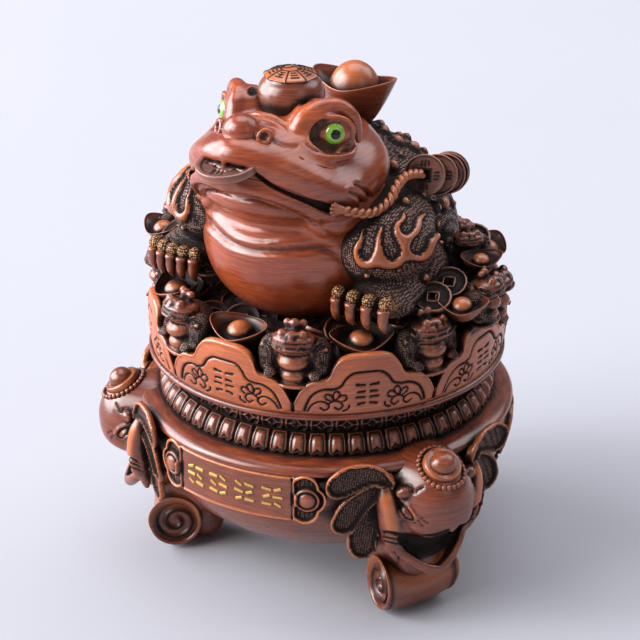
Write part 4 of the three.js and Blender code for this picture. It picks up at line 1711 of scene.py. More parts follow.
        skin = weave("elephant_foot_roll", (0, 0), (360, share[-1]), self.roll_grain, shape)
        step = skin.flat[:, 1]
        y, z = -skin.points[:, 1] - self.roll[0], skin.points[:, 2] - self.roll[1] - 4
        away, turn = np.hypot(y, z), np.arctan2(z, -y)
        end = ((step < 3.1) | (step > 10.9)).astype(float)
        winding = np.mod(away / 5.6 + turn / TAU, 1.0)
        skin.groove(np.abs(winding - 0.5) * 5.6, 1.1, 2.2, end * smoothstep(1.0, 2.4, away))
        skin.darken(bell(np.abs(step - share[-1] / 2) - 2.3, 0.22) * 0.5)
        skin.height[skin.points[:, 2] < 0.5] = 0
        # painted highlight: the roll's body takes the bright rubbed colour, more of it towards its top, as if lit
        # from above
        skin.glow = (1 - end) * 0.4 * smoothstep(-6, 6, z)
        return skin

    def ear(self) -> Skin:
        """One ear: three stippled leaves in raised rims."""
        leaves = [
            Plate(tuple(p[:2] for p in line), tuple(p[2] for p in line), 3.0, 0.5 - 0.5 * k, 0.7)
            for k, line in enumerate(self.lobes)
        ]
        web = Plate(((3, 0), (9, -8), (9, -18)), (6.0, 8.0, 7.0), 2.2, -1.4)
        root = Plate(((-3, -16), (1, -6), (1, 2)), (4.5, 4.0, 3.0), 2.8, -0.6)
        clay = Clay([*leaves, web, root], self.ear_grain)

        def carve(skin: Skin) -> None:
            """Sinks and stipples the leaf grounds.

            Args:
                skin: The skin to carve.
            """
            upper = smoothstep(0.1, 0.6, skin.normals[:, 2])
            for line in self.lobes:
                rows = smooth_line([(a, b, r - 1.7) for a, b, r in line], 6).astype(np.float32)
                reach = line_reach(skin.points[:, :2], rows[:, :2], rows[:, 2])
                sunk = smoothstep(0.35, -0.45, reach) * upper
                skin.height -= sunk * 1.1
                skin.dot(sunk)
                skin.ridge(reach - 1.0, 0.8, 0.9, upper)
                skin.darken(bell(reach + 0.1, 0.45) * 0.8 * upper)
            skin.glow = (1 - skin.stipple) * (1 - skin.stain_and_shade) * 0.28

        skin = clay.skin("elephant_ear", carve)
        across, up = Vector(self.ear_across).normalized(), Vector(self.ear_up).normalized()
        out = across.cross(up).normalized()
        bowed = skin.points.copy()
        bowed[:, 2] += 0.004 * (bowed[:, 0] - 8) ** 2
        basis = np.array([across, up, out], np.float32)
        skin.points = bowed @ basis + np.array(self.ear_root, np.float32)
        return skin

    def crest(self, clay: Clay) -> bpy.types.Mesh:
        """The jewel's dome, its ring and the ring of beads.

        Args:
            clay: The head on which they lie.

        Returns:
            The mesh of one elephant's jewel.
        """
        bm = bmesh.new()
        out = Vector(self.jewel_out).normalized()
        side = Vector((1, 0, 0))
        up = out.cross(side).normalized()
        middle = Vector(self.jewel)
        for k in range(self.beads):
            a = TAU * k / self.beads
            spot = middle + (side * math.cos(a) + up * math.sin(a)) * self.bead_ring
            place = Matrix.Translation(snapped(clay, spot) + out * 0.5)
            bmesh.ops.create_icosphere(bm, subdivisions=2, radius=self.bead, matrix=place)
        seat = Matrix((side, up, out)).transposed().to_4x4()
        seat.translation = snapped(clay, middle)
        size = Matrix.Translation((0, 0, 0.4)) @ Matrix.Diagonal((*self.jewel_radii, 1.0))
        bmesh.ops.create_uvsphere(bm, u_segments=40, v_segments=20, radius=1.0, matrix=seat @ size)
        rings = []
        for radius, lift in ((8.0, -1.5), (8.2, 0.3), (8.7, 1.0), (9.3, 1.0), (9.8, 0.3), (10.0, -2)):
            place = seat @ Matrix.Translation((0, 0, lift))
            rings.append(bmesh.ops.create_circle(bm, segments=48, radius=radius, matrix=place)["verts"])
        walled(bm, rings)
        return mesh_of(bm, "elephant_jewel")

    def build(self, shop: Workshop) -> None:
        """Makes the three elephants.

        Args:
            shop: Takes the finished pieces.
        """
        head = self.head()
        places = [about("Z", bearing) for bearing in self.bearings]
        shop.add_copies("elephant_heads", head.skin("elephant_head", self.carve_head), places)
        shop.add_copies("elephant_legs", self.leg().skin("elephant_leg"), places)
        shop.add_copies("elephant_rolls", carved(self.foot_roll()), places)
        ear = self.ear()
        mirror = Matrix.Diagonal((-1, 1, 1, 1))
        shop.add_copies("elephant_ears", ear, [p @ m for p in places for m in (Matrix.Identity(4), mirror)])
        jewels = copied(self.crest(head), places, "elephant_jewels")
        shop.add_mesh("elephant_jewels", jewels, traits={"glow": np.full(len(jewels.vertices), 0.10)})


# The tray and its heap


@dataclass
class Tray:
    """The round tray: eight cloud-shaped panels round a heap."""

    panels: int = 8
    crown: tuple[Pair, ...] = (
        (0, 156), (8, 155.6), (13.5, 153.6), (16.6, 149.8), (18.2, 145.8), (20.8, 143.8), (25, 143.2), (29, 141.6),
        (32.5, 138), (35, 133), (36.9, 128.5),
    )
    ogee: tuple[Pair, ...] = (
        (0, 146.6), (6.5, 146.2), (10.5, 143.6), (13, 139.8), (16.5, 138.2), (22, 137.8), (27, 134.8), (29.8, 129.6),
        (31, 125.6),
    )
    scrolls: tuple[tuple[Pair, ...], ...] = (
        ((29.5, 125.2), (27.5, 128.8), (24, 131), (20.4, 130.4), (19, 127.8), (21, 125.9), (23.2, 127.3)),
        ((19.4, 129.4), (16.4, 131.4), (13.2, 130.6), (12.3, 128), (14.2, 126.2), (16.2, 127.6)),
        ((16.4, 131.6), (14.1, 133.4), (13.7, 135.8), (15.5, 137), (16.9, 134.8), (16.6, 132)),
        ((16.7, 132), (18, 134.6), (20.4, 135.2), (20.6, 133), (18.4, 131.4)),
        ((13.9, 133.8), (11.4, 134.6), (10.2, 132.6), (12, 131)),
        ((12, 125.4), (9.6, 126.4), (8.9, 128.6)),
    )
    lip: tuple[Pair, ...] = ((94.6, 120.5), (95.2, 121.3), (95.2, 122.4), (94.6, 123.2), (93.0, 123.6), (88, 124))
    base: float = 120.1
    foot: float = 122.6  # height at which the panels start
    radius: float = 93.6
    end: float = 36.9  # half of a panel's width
    across: int = 840  # faces round the tray
    along: int = 43
    leans: tuple[float, ...] = (0.5, -0.4, 0.2, -0.6)

    def top(self, offset: np.ndarray) -> np.ndarray:
        """Height of the panel's edge at an offset from its middle."""
        line = smooth_line(self.crown, 6)
        return np.interp(np.abs(offset), line[:, 0], line[:, 1])

    def offset(self, degrees: np.ndarray) -> np.ndarray:
        """Millimetres from the middle of the nearest panel."""
        return nearest_spot(degrees, self.panels) * math.radians(1) * 94

    def shape(self, degrees: np.ndarray, share: np.ndarray) -> np.ndarray:
        """The panels: up their outer side, over the edge and down inside.

        Args:
            degrees: Bearings round the axis.
            share: How far along the way each place lies.

        Returns:
            The places in space.
        """
        top = self.top(self.offset(degrees))
        outer = np.clip(share, 0, 1)
        over = np.clip((share - 1) / 0.12, 0, 1)
        inner = np.clip((share - 1.12) / 0.1, 0, 1)
        height = self.foot + (top - 1.6 - self.foot) * outer + 1.6 * np.sin(over * np.pi) - inner * 12
        bulge = 1.7 * np.sin(np.pi * np.clip((height - self.foot) / 30, 0, 1))
        radius = self.radius + bulge - (1 - np.cos(over * np.pi)) * 1.9
        return round_the_axis(radius, degrees, height)

    def carve(self, skin: Skin) -> None:
        """Engraves the ogee line, the scrolls and the rows of strokes on each panel.

        Args:
            skin: The skin to carve.
        """
        offset = np.abs(self.offset(skin.flat[:, 0]))
        height = skin.points[:, 2]
        outside = (skin.flat[:, 1] <= 1.01).astype(np.float32)
        skin.flat = np.stack([offset, height], axis=1).astype(np.float32)
        ogee = skin.drawn(self.ogee)
        skin.groove(ogee, 0.62, 1.15, outside, dark=1.0)
        within = outside * smoothstep(0, 1.2, np.interp(offset, *np.array(smooth_line(self.ogee, 5)).T) - height)
        skin.height -= within * 0.35
        for scroll in self.scrolls:
            skin.groove(skin.drawn(scroll), 0.46, 0.8, outside, dark=1.0)
        for row, lean in enumerate(self.leans):
            z = 139.6 - 3.4 * row
            stroke = skin.drawn(((1.4, z), (5.4 - 0.7 * (row % 2), z + lean)))
            skin.groove(stroke, 0.6, 0.9, outside, dark=1.0)
        seam = bell(self.end - offset, 0.75) * outside * (height > 124)
        skin.height -= seam * 1.5
        skin.darken(seam)
        edge = self.top(offset) - height
        lip = outside * smoothstep(3.0, 1.2, edge)
        skin.height += lip * 0.5
        skin.glow = np.maximum(outside * 0.12, lip * 0.3) * (1 - skin.stain_and_shade)

    def rim(self) -> bpy.types.Mesh:
        """The smooth band under the panels and the tray's underside."""
        flat = [(0, self.base), (84, self.base), (93.2, self.base)]
        return spun("tray_rim", [*flat, *self.lip])

    def ground(self) -> Skin:
        """The rough heap between the coins."""
        def shape(degrees: np.ndarray, share: np.ndarray) -> np.ndarray:
            """The heap's slope, from round the belly out to the panels."""
            height = 154 - 16 * smoothstep(0.45, 1.0, share) - 8 * smoothstep(0.85, 1.0, share)
            return round_the_axis(30 + 60 * share, degrees, height)

        skin = weave("heap_ground", (0, 0), (360, 1), (360 / 180, 1 / 34), shape, inward=True)
        a, r = np.radians(skin.flat[:, 0]), skin.flat[:, 1]
        skin.height += 0.9 * np.sin(a * 23 + r * 30) * np.sin(a * 11 - r * 41)
        skin.height += 0.7 * np.sin(a * 37 + 2) * np.sin(r * 60)
        skin.stain_and_shade[:] = 0.75
        return skin

    def build(self, shop: Workshop) -> None:
        """Makes the tray.

        Args:
            shop: Takes the finished pieces.
        """
        skin = weave("tray_panels", (0, 0), (360, 1.22), (360 / self.across, 1 / self.along), self.shape)
        self.carve(skin)
        shop.add_skin(carved(skin), TOAD_TURN)
        shop.add_mesh("tray_rim", self.rim(), TOAD_TURN)
        shop.add_skin(carved(self.ground()), TOAD_TURN)


@dataclass(frozen=True)
class Ingot:
    """A boat-shaped ingot with a dome; modelled lengthwise along x at the origin."""

    name: str
    half_length: float
    half_width: float
    depth: float
    dome: float
    dome_lift: float  # height of the dome over the deck
    rise: float  # how far the two ends stand up over the sides

    def shape(self, degrees: np.ndarray, share: np.ndarray) -> np.ndarray:
        """Up the hull, over the rim and across the deck to the dome and its top.

        Args:
            degrees: Bearings round the axis.
            share: How far along the way each place lies.

        Returns:
            The places in space.
        """
        a = np.radians(degrees)
        hull, rim, deck, top = (np.clip(share - k, 0, 1) for k in range(4))
        grow = np.sqrt(hull) * 0.42 + 0.58 * hull
        fold = np.sin(rim * np.pi)
        reach = 0.30 + 0.70 * grow - 0.035 * (1 - np.cos(rim * np.pi)) / 2
        ends = np.abs(np.cos(a)) ** 2.2
        long = self.half_length * reach * (0.82 + 0.18 * ends)
        wide = self.half_width * reach * (1 - 0.12 * ends * hull)
        lift = self.depth * hull + self.rise * np.abs(np.cos(a)) ** 1.7 * hull**1.6 + 0.5 * fold
        inner = self.dome * 1.08
        x, y = long * np.cos(a), wide * np.sin(a)
        x = x + (inner * np.cos(a) - x) * deck
        y = y + (inner * np.sin(a) - y) * deck
        sink = self.depth * 0.80
        lift = lift + (sink - lift) * np.sin(deck * np.pi / 2) ** 0.8
        on_dome, ring = top > 0, inner * np.cos(top * np.pi / 2)
        x, y = np.where(on_dome, ring * np.cos(a), x), np.where(on_dome, ring * np.sin(a), y)
        lift = np.where(on_dome, sink + self.dome_lift * np.sin(top * np.pi / 2), lift)
        return np.stack([x, y, lift], axis=1)

    def skin(self, across: int, along: int) -> Skin:
        """The ingot's skin.

        Args:
            across: Faces round it.
            along: Faces up its hull, and as many for each other stretch.

        Returns:
            The skin, rubbed on its rim and dome.
        """
        made = weave(self.name, (0, 0), (360, 4), (360 / across, 1 / along), self.shape)
        share = made.flat[:, 1]
        made.glow = smoothstep(3.1, 3.4, share) * 0.55 + bell(share - 1.5, 0.5) * 0.4
        made.stain_and_shade = bell(share - 3.0, 0.22) * 0.9 + smoothstep(2.0, 2.6, share) * (share < 3.0) * 0.45
        return made


@dataclass
class SmallToad:
    """A small three-legged toad that sits between two panels; modelled facing the front."""

    grain: float = 1.35
    wart: float = 1.25
    wart_places: tuple[Triple, ...] = (
        (15.5, -5, 19), (17.5, -1, 13), (14, -6, 12.5), (16.5, 2, 17.5), (11.5, -5.5, 22), (16.8, -4, 8.5),
    )

    def clay(self) -> Clay:
        """The small toad's forms."""
        arm = Lump((12.5, -1.0, 15), (6.2, 6.5, 8.5), (0, -12, 0), blend=1.2)
        elbow = Lump((13.5, -3.5, 8.5), (4.5, 4.5, 4.5), blend=2)
        hand = Lump((11, -8.2, 6.8), (3.4, 3.0, 2.4), blend=1.2)
        fingers = [Roll(((9 + 2.1 * k, -9.5, 7), (9 + 2.1 * k, -12.2, 5.2)), (1.0, 0.8), blend=0.5) for k in range(3)]
        eye = Lump((5.2, -8.2, 27.4), (2.5, 2.5, 2.5), blend=0.6)
        knob = Lump((4.0, -1.5, 30.5), (2.0, 2.0, 2.3), blend=0.8)
        return Clay(
            [
                Lump((0, 2, 12), (12, 11, 13)),
                Lump((0, -5.0, 12.2), (8.2, 8.2, 4.6), blend=0.8),
                Lump((0, -4.4, 5.2), (7.4, 7.6, 4.2), blend=0.8),
                Lump((0, -3.0, 18), (10, 8.6, 5), blend=1.5),
                Lump((0, -6.0, 21.4), (11.4, 9.4, 3.0), blend=0.8),
                Lump((0, -5.6, 24.4), (10.8, 9.0, 3.4), blend=0.9),
                Lump((0, -9.0, 27), (3.2, 3.6, 2.4), blend=1.0),
                Lump((0, -2.5, 30.6), (2.6, 2.6, 2.8), blend=0.8),
                *both_sides([arm, elbow, hand, *fingers, eye, knob]),
                Lump((0, -3.5, 0.6), (14.5, 10.0, 1.8), blend=1.4),
            ],
            self.grain,
        )

    def carve(self, skin: Skin) -> None:
        """Stripes the mouth, stipples the arms and folds the belly.

        Args:
            skin: The skin to carve.
        """
        x, y, z = np.abs(skin.points[:, 0]), skin.points[:, 1], skin.points[:, 2]
        arms = smoothstep(9.0, 10.5, x) * (z < 24) * (z > 4)
        skin.dot(np.maximum(arms, smoothstep(2.0, 5.0, y)))
        front = (y < -3) & (z > 19) & (z < 27)
        for height in (20.2, 22.8, 25.2):
            skin.groove(np.abs(z - height + 0.010 * x**2), 0.42, 0.7, front.astype(float))
        for height in (8.7, 16.6):
            skin.groove(np.abs(z - height) + np.where((y < -4) & (x < 8.5), 0, 9), 0.6, 0.8)
        near = (np.abs(x - 2.0) + np.abs(z - 26.8)) < 1.0
        skin.darken(near * (y < -10) * 0.8)
        spots = [(sign * a, b, c) for sign in (1, -1) for a, b, c in self.wart_places]
        skin.warts(spots, [self.wart] * len(spots))
        skin.gild(((x < 8) & (y < -6) & (z < 19)) * 0.25)

    def skin(self) -> Skin:
        """The small toad's skin."""
        return self.clay().skin("small_toad", self.carve)


@dataclass
class Heap:
    """What lies in the tray: ingots behind the panels, small toads between them, and loose coins."""

    coins: int = 150
    coin_radius: float = 9.5
    coin_thickness: float = 1.8
    seed: int = 21
    ingot: Ingot = Ingot("tray_ingot", 16.5, 11.5, 10.5, 6.4, 6.0, 4.0)
    piled_toads: tuple[Piled, ...] = (((73, 17, 174), 50, 0.72), ((92, -2, 156), 105, 0.85))
    piled_ingots: tuple[Piled, ...] = (
        ((87, 7, 178), 50, 0.68), ((92, -19, 163), 20, 0.82), ((72, 40, 168), 100, 0.85),
    )
    piled_coins: tuple[Piled, ...] = (
        ((80, -12, 177), 20, 1), ((79, -26, 174), 25, 1), ((84, -4, 172), 35, 1), ((70, 30, 184), 15, 1),
    )

    @staticmethod
    def piled(places: Iterable[Piled], tilt: float = 0.0) -> list[Matrix]:
        """Places on the heap behind the front legs, on both sides.

        Args:
            places: Place, bearing and scale of each thing, on the toad's left.
            tilt: Degrees that each leans outward.

        Returns:
            A matrix for each thing and its mirror image.
        """
        lean = about("X", tilt)
        return [
            Matrix.Translation((sign * x, y, z)) @ about("Z", sign * bearing) @ lean @ Matrix.Scale(size, 4)
            for (x, y, z), bearing, size in places
            for sign in (1, -1)
        ]

    def coin(self) -> Skin:
        """A coin with a square hole and raised rims, lying flat at the origin."""
        def shape(degrees: np.ndarray, share: np.ndarray) -> np.ndarray:
            """From the hole's lower edge over the face to the outer edge.

            Args:
                degrees: Bearings round the axis.
                share: How far along the way each place lies.

            Returns:
                The places in space.
            """
            steps = range(9)
            place = np.interp(share, steps, [0, 0, 0.12, 0.14, 0.8, 0.84, 0.96, 1.0, 1.0])
            level = np.interp(share, steps, [-1, 1, 1, 0.45, 0.45, 1, 1, 0.7, -1])
            height = level * self.coin_thickness / 2
            return holed_disc(degrees, self.coin_radius, self.coin_radius * 0.26, place, height)

        made = weave("coin", (0, 0), (360, 8), (360 / 16, 1.0), shape)
        share = made.flat[:, 1]
        made.stain_and_shade = ((share > 2.5) & (share < 4.5)) * 0.7 + (share < 0.5) * 0.5
        return made

    def build(self, shop: Workshop) -> None:
        """Makes the heap.

        Args:
            shop: Takes the finished pieces.
        """
        spots = [standing_at(78.5, 45.0 * k, 147.5) @ about("X", 10) for k in range(8)]
        spots += self.piled(self.piled_ingots, 12)
        shop.add_copies("tray_ingots", self.ingot.skin(40, 7), spots, TOAD_TURN)
        toads = [standing_at(84.0, 22.5 + 45.0 * k, 138.5) @ about("Z", random.uniform(-3, 3)) for k in range(8)]
        toads += self.piled(self.piled_toads)
        shop.add_copies("small_toads", SmallToad().skin(), toads, TOAD_TURN)
        chance = random.Random(self.seed)
        places = self.piled(self.piled_coins, 30)
        for k in range(self.coins):
            bearing = 360 * (k * 0.618034 % 1) + chance.uniform(-6, 6)
            radius = chance.uniform(50, 86)
            height = 151.5 - 6.5 * max(0.0, (radius - 62) / 24) + chance.uniform(-1.5, 2.5)
            place = standing_at(radius, bearing, height)
            for axis, low, high in (("X", -0.35, 0.65), ("Y", -0.4, 0.4), ("Z", 0, 3)):
                place = place @ Matrix.Rotation(chance.uniform(low, high), 4, axis)
            places.append(place)
        shop.add_copies("loose_coins", self.coin(), places, TOAD_TURN)


# The large toad


def finger_places(toes: int) -> list[Pair]:
    """Where the knuckles of a hand lie: aside and forwards, in millimetres.

    Args:
        toes: Toes on the hand.

    Returns:
        One place for each toe, from the inside out.
    """
    return [(43.5 + 27 * i / (toes - 1), 57.5 - 0.5 * (i - 1.5) ** 2) for i in range(toes)]


# Creases of the jaw, cut into the head and the throat alike: pixels of the photograph, width and depth
JAW_FOLDS: tuple[tuple[tuple[Pair, ...], float, float], ...] = (
    (
        (
            (226, 196), (243, 198), (257, 199), (268, 202), (279, 206), (290, 210.5), (301, 215), (312, 222),
            (323, 230), (334, 237), (343, 237.5), (354, 231), (361, 224),
        ),
        1.1, 1.3,
    ),
    (((293, 212), (301, 221), (308, 230), (315, 236.5), (323, 239)), 0.9, 0.6),
    (((322, 221), (330, 226.5), (340, 228), (349, 226), (357, 221)), 0.8, 0.6),
)


@dataclass
class ToadHead:
    """The smooth head: skull, brows, muzzle, nose, lips and cheeks."""

    grain: float = 0.88
    nose: Triple = (-0.3, -75.0, 260.2)
    nostril: Triple = (13.2, -75.2, 259.6)
    hollow: Triple = (15.2, -43.5, 267.2)  # between the brow and the barrel
    mouth: tuple[Triple, ...] = (
        (226, 166, 0.4), (245, 170, 0.4), (257, 176, 0.4), (268, 183.5, 0.6), (279, 189.5, 0.6), (290, 194.5, 0.7),
        (301, 199.0, 1.0), (312, 203, 1.9), (323, 207, 3.0), (334, 210, 3.6), (345, 212, 3.8), (353, 212, 2.6),
    )
    lip_rise: tuple[Pair, ...] = (
        (240, 189), (257, 193), (268, 196.5), (279, 199.5), (290, 204), (301, 210), (312, 217), (323, 224.5),
        (334, 231), (345, 231),
    )
    outer_curl: tuple[Pair, ...] = ((356, 184), (363, 188), (368, 194), (370, 201), (368, 208))
    inner_curl: tuple[Pair, ...] = ((350, 192), (358, 196), (362, 203), (361, 209))
    lower_lid: tuple[Pair, ...] = ((306, 144), (314, 150), (325, 153), (339, 153), (349, 150), (355, 145))
    nose_crease: tuple[Pair, ...] = ((272, 139), (280, 143), (289, 146), (297, 146))

    def forms(self) -> list[Form]:
        """The lumps that make the head."""
        cheeks = [
            Lump((25.5, -24, 230.5), (20.5, 28, 17), blend=8),
            Lump((34, -33, 225.5), (11.5, 19, 12), blend=7),
            Lump((18, -45, 245), (17, 23, 12), blend=9),
        ]
        hood = Lump((20.4, -41, 258.6), (13.2, 14, 11), blend=5)
        socket = Lump((34.4, -47.3, 256.2), (11.8, 7.6, 8.9), (0, 0, 39), 1.5, Work.CUT)
        brow = Roll(
            (
                (16.8, -55.5, 251.4), (18.4, -55, 257.2), (19.8, -51.5, 262.0), (22.3, -46, 265.6),
                (25.9, -40.5, 267.2), (31.0, -36, 266.4),
                (35.4, -32.5, 261.6), (37.2, -31, 255.2), (38, -31, 249.4),
            ),
            (2.6, 4.1, 4.8, 4.7, 4.1, 3.8, 3.3, 2.5, 1.4),
            blend=1.6,
        )
        hollow = Lump((15.4, -43.5, 268.8), (2.5, 4.2, 2.6), (0, 25, -20), 0.8, Work.CUT)
        eyeball = Lump((27.6, -40.2, 255), (11.4, 8.3, 7.9), (0, 0, 39), 0.6)
        lid = Roll(
            (
                (20.5, -58.5, 251.6), (25.1, -57, 250.9), (28.7, -54.6, 247.5), (34.5, -48.7, 245.0),
                (39.2, -41, 245),
                (38.6, -35, 247.2),
            ),
            (1.2, 1.8, 2.1, 2.1, 1.8, 1.2),
            blend=1.4,
        )
        facing, aside = Vector((0.63, -0.77, 0.08)), Vector((0.77, 0.63, 0.0))
        lids = []
        for wide, high, ahead, thick in ((9.3, 7.3, 5.6, 0.95), (11.0, 8.8, 6.2, 1.1)):
            arc = []
            for a in (math.radians(-20 + 22 * k) for k in range(11)):
                spot = Vector(eyeball.centre) + facing * (ahead - 2.2 * abs(math.cos(a)))
                arc.append(spot + aside * wide * math.cos(a) + Vector((0, 0, high * math.sin(a))))
            lids.append(Roll(tuple(map(tuple, arc)), (thick,) * 11, blend=0.5, steps=2))
        across, upwards = Vector((0.80, 0.58, 0.1)) * 3.0, Vector((-0.1, 0.3, 0.95)) * 3.0
        ring = [
            tuple(Vector(self.nostril) + across * math.cos(a) + upwards * math.sin(a))
            for a in (TAU * k / 10 for k in range(11))
        ]
        nostril = Roll(tuple(ring), (1.25,) * 11, blend=0.7, steps=2)
        stem = Roll(((8, -66, 256.0), (12.4, -73.0, 258.8)), (3.8, 3.4), blend=1.5)
        nostril_hole = Lump((13.9, -76.8, 260.1), (2.2, 2.8, 2.2), blend=0.4, work=Work.CUT)
        upper_lip = Roll(
            (
                (0, -82.5, 249.5), (10.5, -81.5, 248.3), (17.5, -78, 246.2), (25, -73, 243), (32, -66, 238),
                (38, -56, 231), (40, -46, 226),
            ),
            (4.4, 4.6, 5.0, 5.2, 5.4, 5.4, 4.8),
            blend=12,
        )
        jaw = Roll(
            (
                (0, -84.5, 238), (9, -83.5, 236.8), (18, -79, 233.6), (26.5, -72, 228.8), (33, -62, 222),
                (37, -52, 217), (38, -43, 215),
            ),
            (4.2, 4.4, 4.8, 5.0, 5.2, 5.2, 4.4),
            blend=8,
        )
        folds = [
            Roll(points, radii, blend=1.0)
            for points, radii in (
                (
                    ((17.6, -63, 254.4), (12.1, -60.5, 258.6), (5.2, -61, 260.6), (-0.5, -62, 260.2)),
                    (1.8, 2.3, 2.5, 2.5),
                ),
                (((15, -56, 255), (11.8, -55, 258.0), (4.5, -56, 261.0), (-0.5, -57, 261.2)), (2.0, 2.4, 2.6, 2.6)),
            )
        ]
        return [
            Lump((0, -20, 237), (35, 38, 17)),
            Lump((0, -49, 245.5), (28, 36, 13.5), (-6, 0, 0), 8),
            Lump((0, -57, 249), (18, 23, 9.5), (-4, 0, 0), 9),
            *both_sides(cheeks),
            *both_sides([upper_lip]),
            Lump((0, -42, 227), (40, 42, 12), (-22, 0, 0), 7),
            *both_sides([jaw]),
            *both_sides([hood, socket, brow, hollow, eyeball, lid, *lids]),
            Lump(self.nose, (9.2, 8.8, 8.4), blend=1.2),
            *both_sides(folds),
            *both_sides([stem, nostril, nostril_hole]),
        ]

    def carve(self, skin: Skin) -> None:
        """Cuts the mouth, its curls, the lids and the creases round the nose.

        Args:
            skin: The skin to carve.
        """
        gap = np.maximum(skin.photo_line(self.mouth), 0)
        skin.groove(gap, 0.65, 2.4, dark=1.0)
        skin.ridge(skin.photo_line(self.lip_rise), 2.6, 0.9)
        for fold, width, depth in JAW_FOLDS:
            skin.groove(skin.photo_line(fold), width, depth, dark=0.1)
        for curl in (self.outer_curl, self.inner_curl):
            line = skin.photo_line(curl)
            skin.groove(line, 1.0, 1.0, dark=0.1)
            skin.ridge(line - 2.0, 1.2, 0.4)
        skin.groove(skin.photo_line(self.lower_lid), 0.6, 0.6, dark=0.1)
        skin.groove(skin.photo_line(self.nose_crease), 0.9, 0.7, dark=0.1)
        near = skin.points.copy()
        near[:, 0] = np.abs(near[:, 0])
        hollow = np.linalg.norm((near - self.hollow) / (3.0, 4.8, 3.4), axis=1)
        skin.dot(1 - smoothstep(0.7, 0.95, hollow))

    def build(self, shop: Workshop) -> None:
        """Makes the head."""
        clay = Clay(self.forms(), self.grain)
        shop.add_skin(clay.skin("toad_head", self.carve), TOAD_TURN)


@dataclass
class ToadBelly:
    """The smooth throat and belly, with the folds between them."""

    grain: float = 1.7
    folds: tuple[tuple[Pair, ...], ...] = (
        (
            (204, 212), (210, 222), (218, 230), (227, 238), (238, 244.5), (252, 249), (268, 250.5), (284, 250),
            (301, 249), (312, 248), (323, 249), (334, 253), (343, 261), (347, 272),
        ),
        (
            (208, 187), (208.5, 197), (211, 207), (217, 217), (226, 226), (237, 232.5), (250, 238), (268, 240),
            (284, 239.5), (301, 238),
        ),
    )

    def forms(self) -> list[Form]:
        """The lumps that make the throat and the belly."""
        return [
            Lump((0, -18, 190), (52, 56, 44)),
            Lump((0, -31, 219), (45, 49.5, 18), (-8, 0, 0), 5),
            *both_sides([Lump((33, -38, 214), (15, 24, 12), (0, 0, 0), 6)]),
        ]

    def carve(self, skin: Skin) -> None:
        """Cuts the folds, with a soft swelling beside each.

        Args:
            skin: The skin to carve.
        """
        column = TOAD_VIEW.pixels(skin.points)[:, 0]
        for fold, depth, end in zip(self.folds, (2.2, 1.2), (352, 288)):
            gap = skin.photo_line(fold)
            fade = 1 - smoothstep(end - 30, end, column)
            skin.groove(gap, 1.9, depth, fade, dark=0.0)
            skin.ridge(gap - 3.6, 2.6, depth * 0.35, fade)
        for fold, width, depth in JAW_FOLDS:
            skin.groove(skin.photo_line(fold), width, depth, dark=0.0)

    def build(self, shop: Workshop) -> None:
        """Makes the belly."""
        clay = Clay(self.forms(), self.grain)
        shop.add_skin(clay.skin("toad_belly", self.carve), TOAD_TURN)


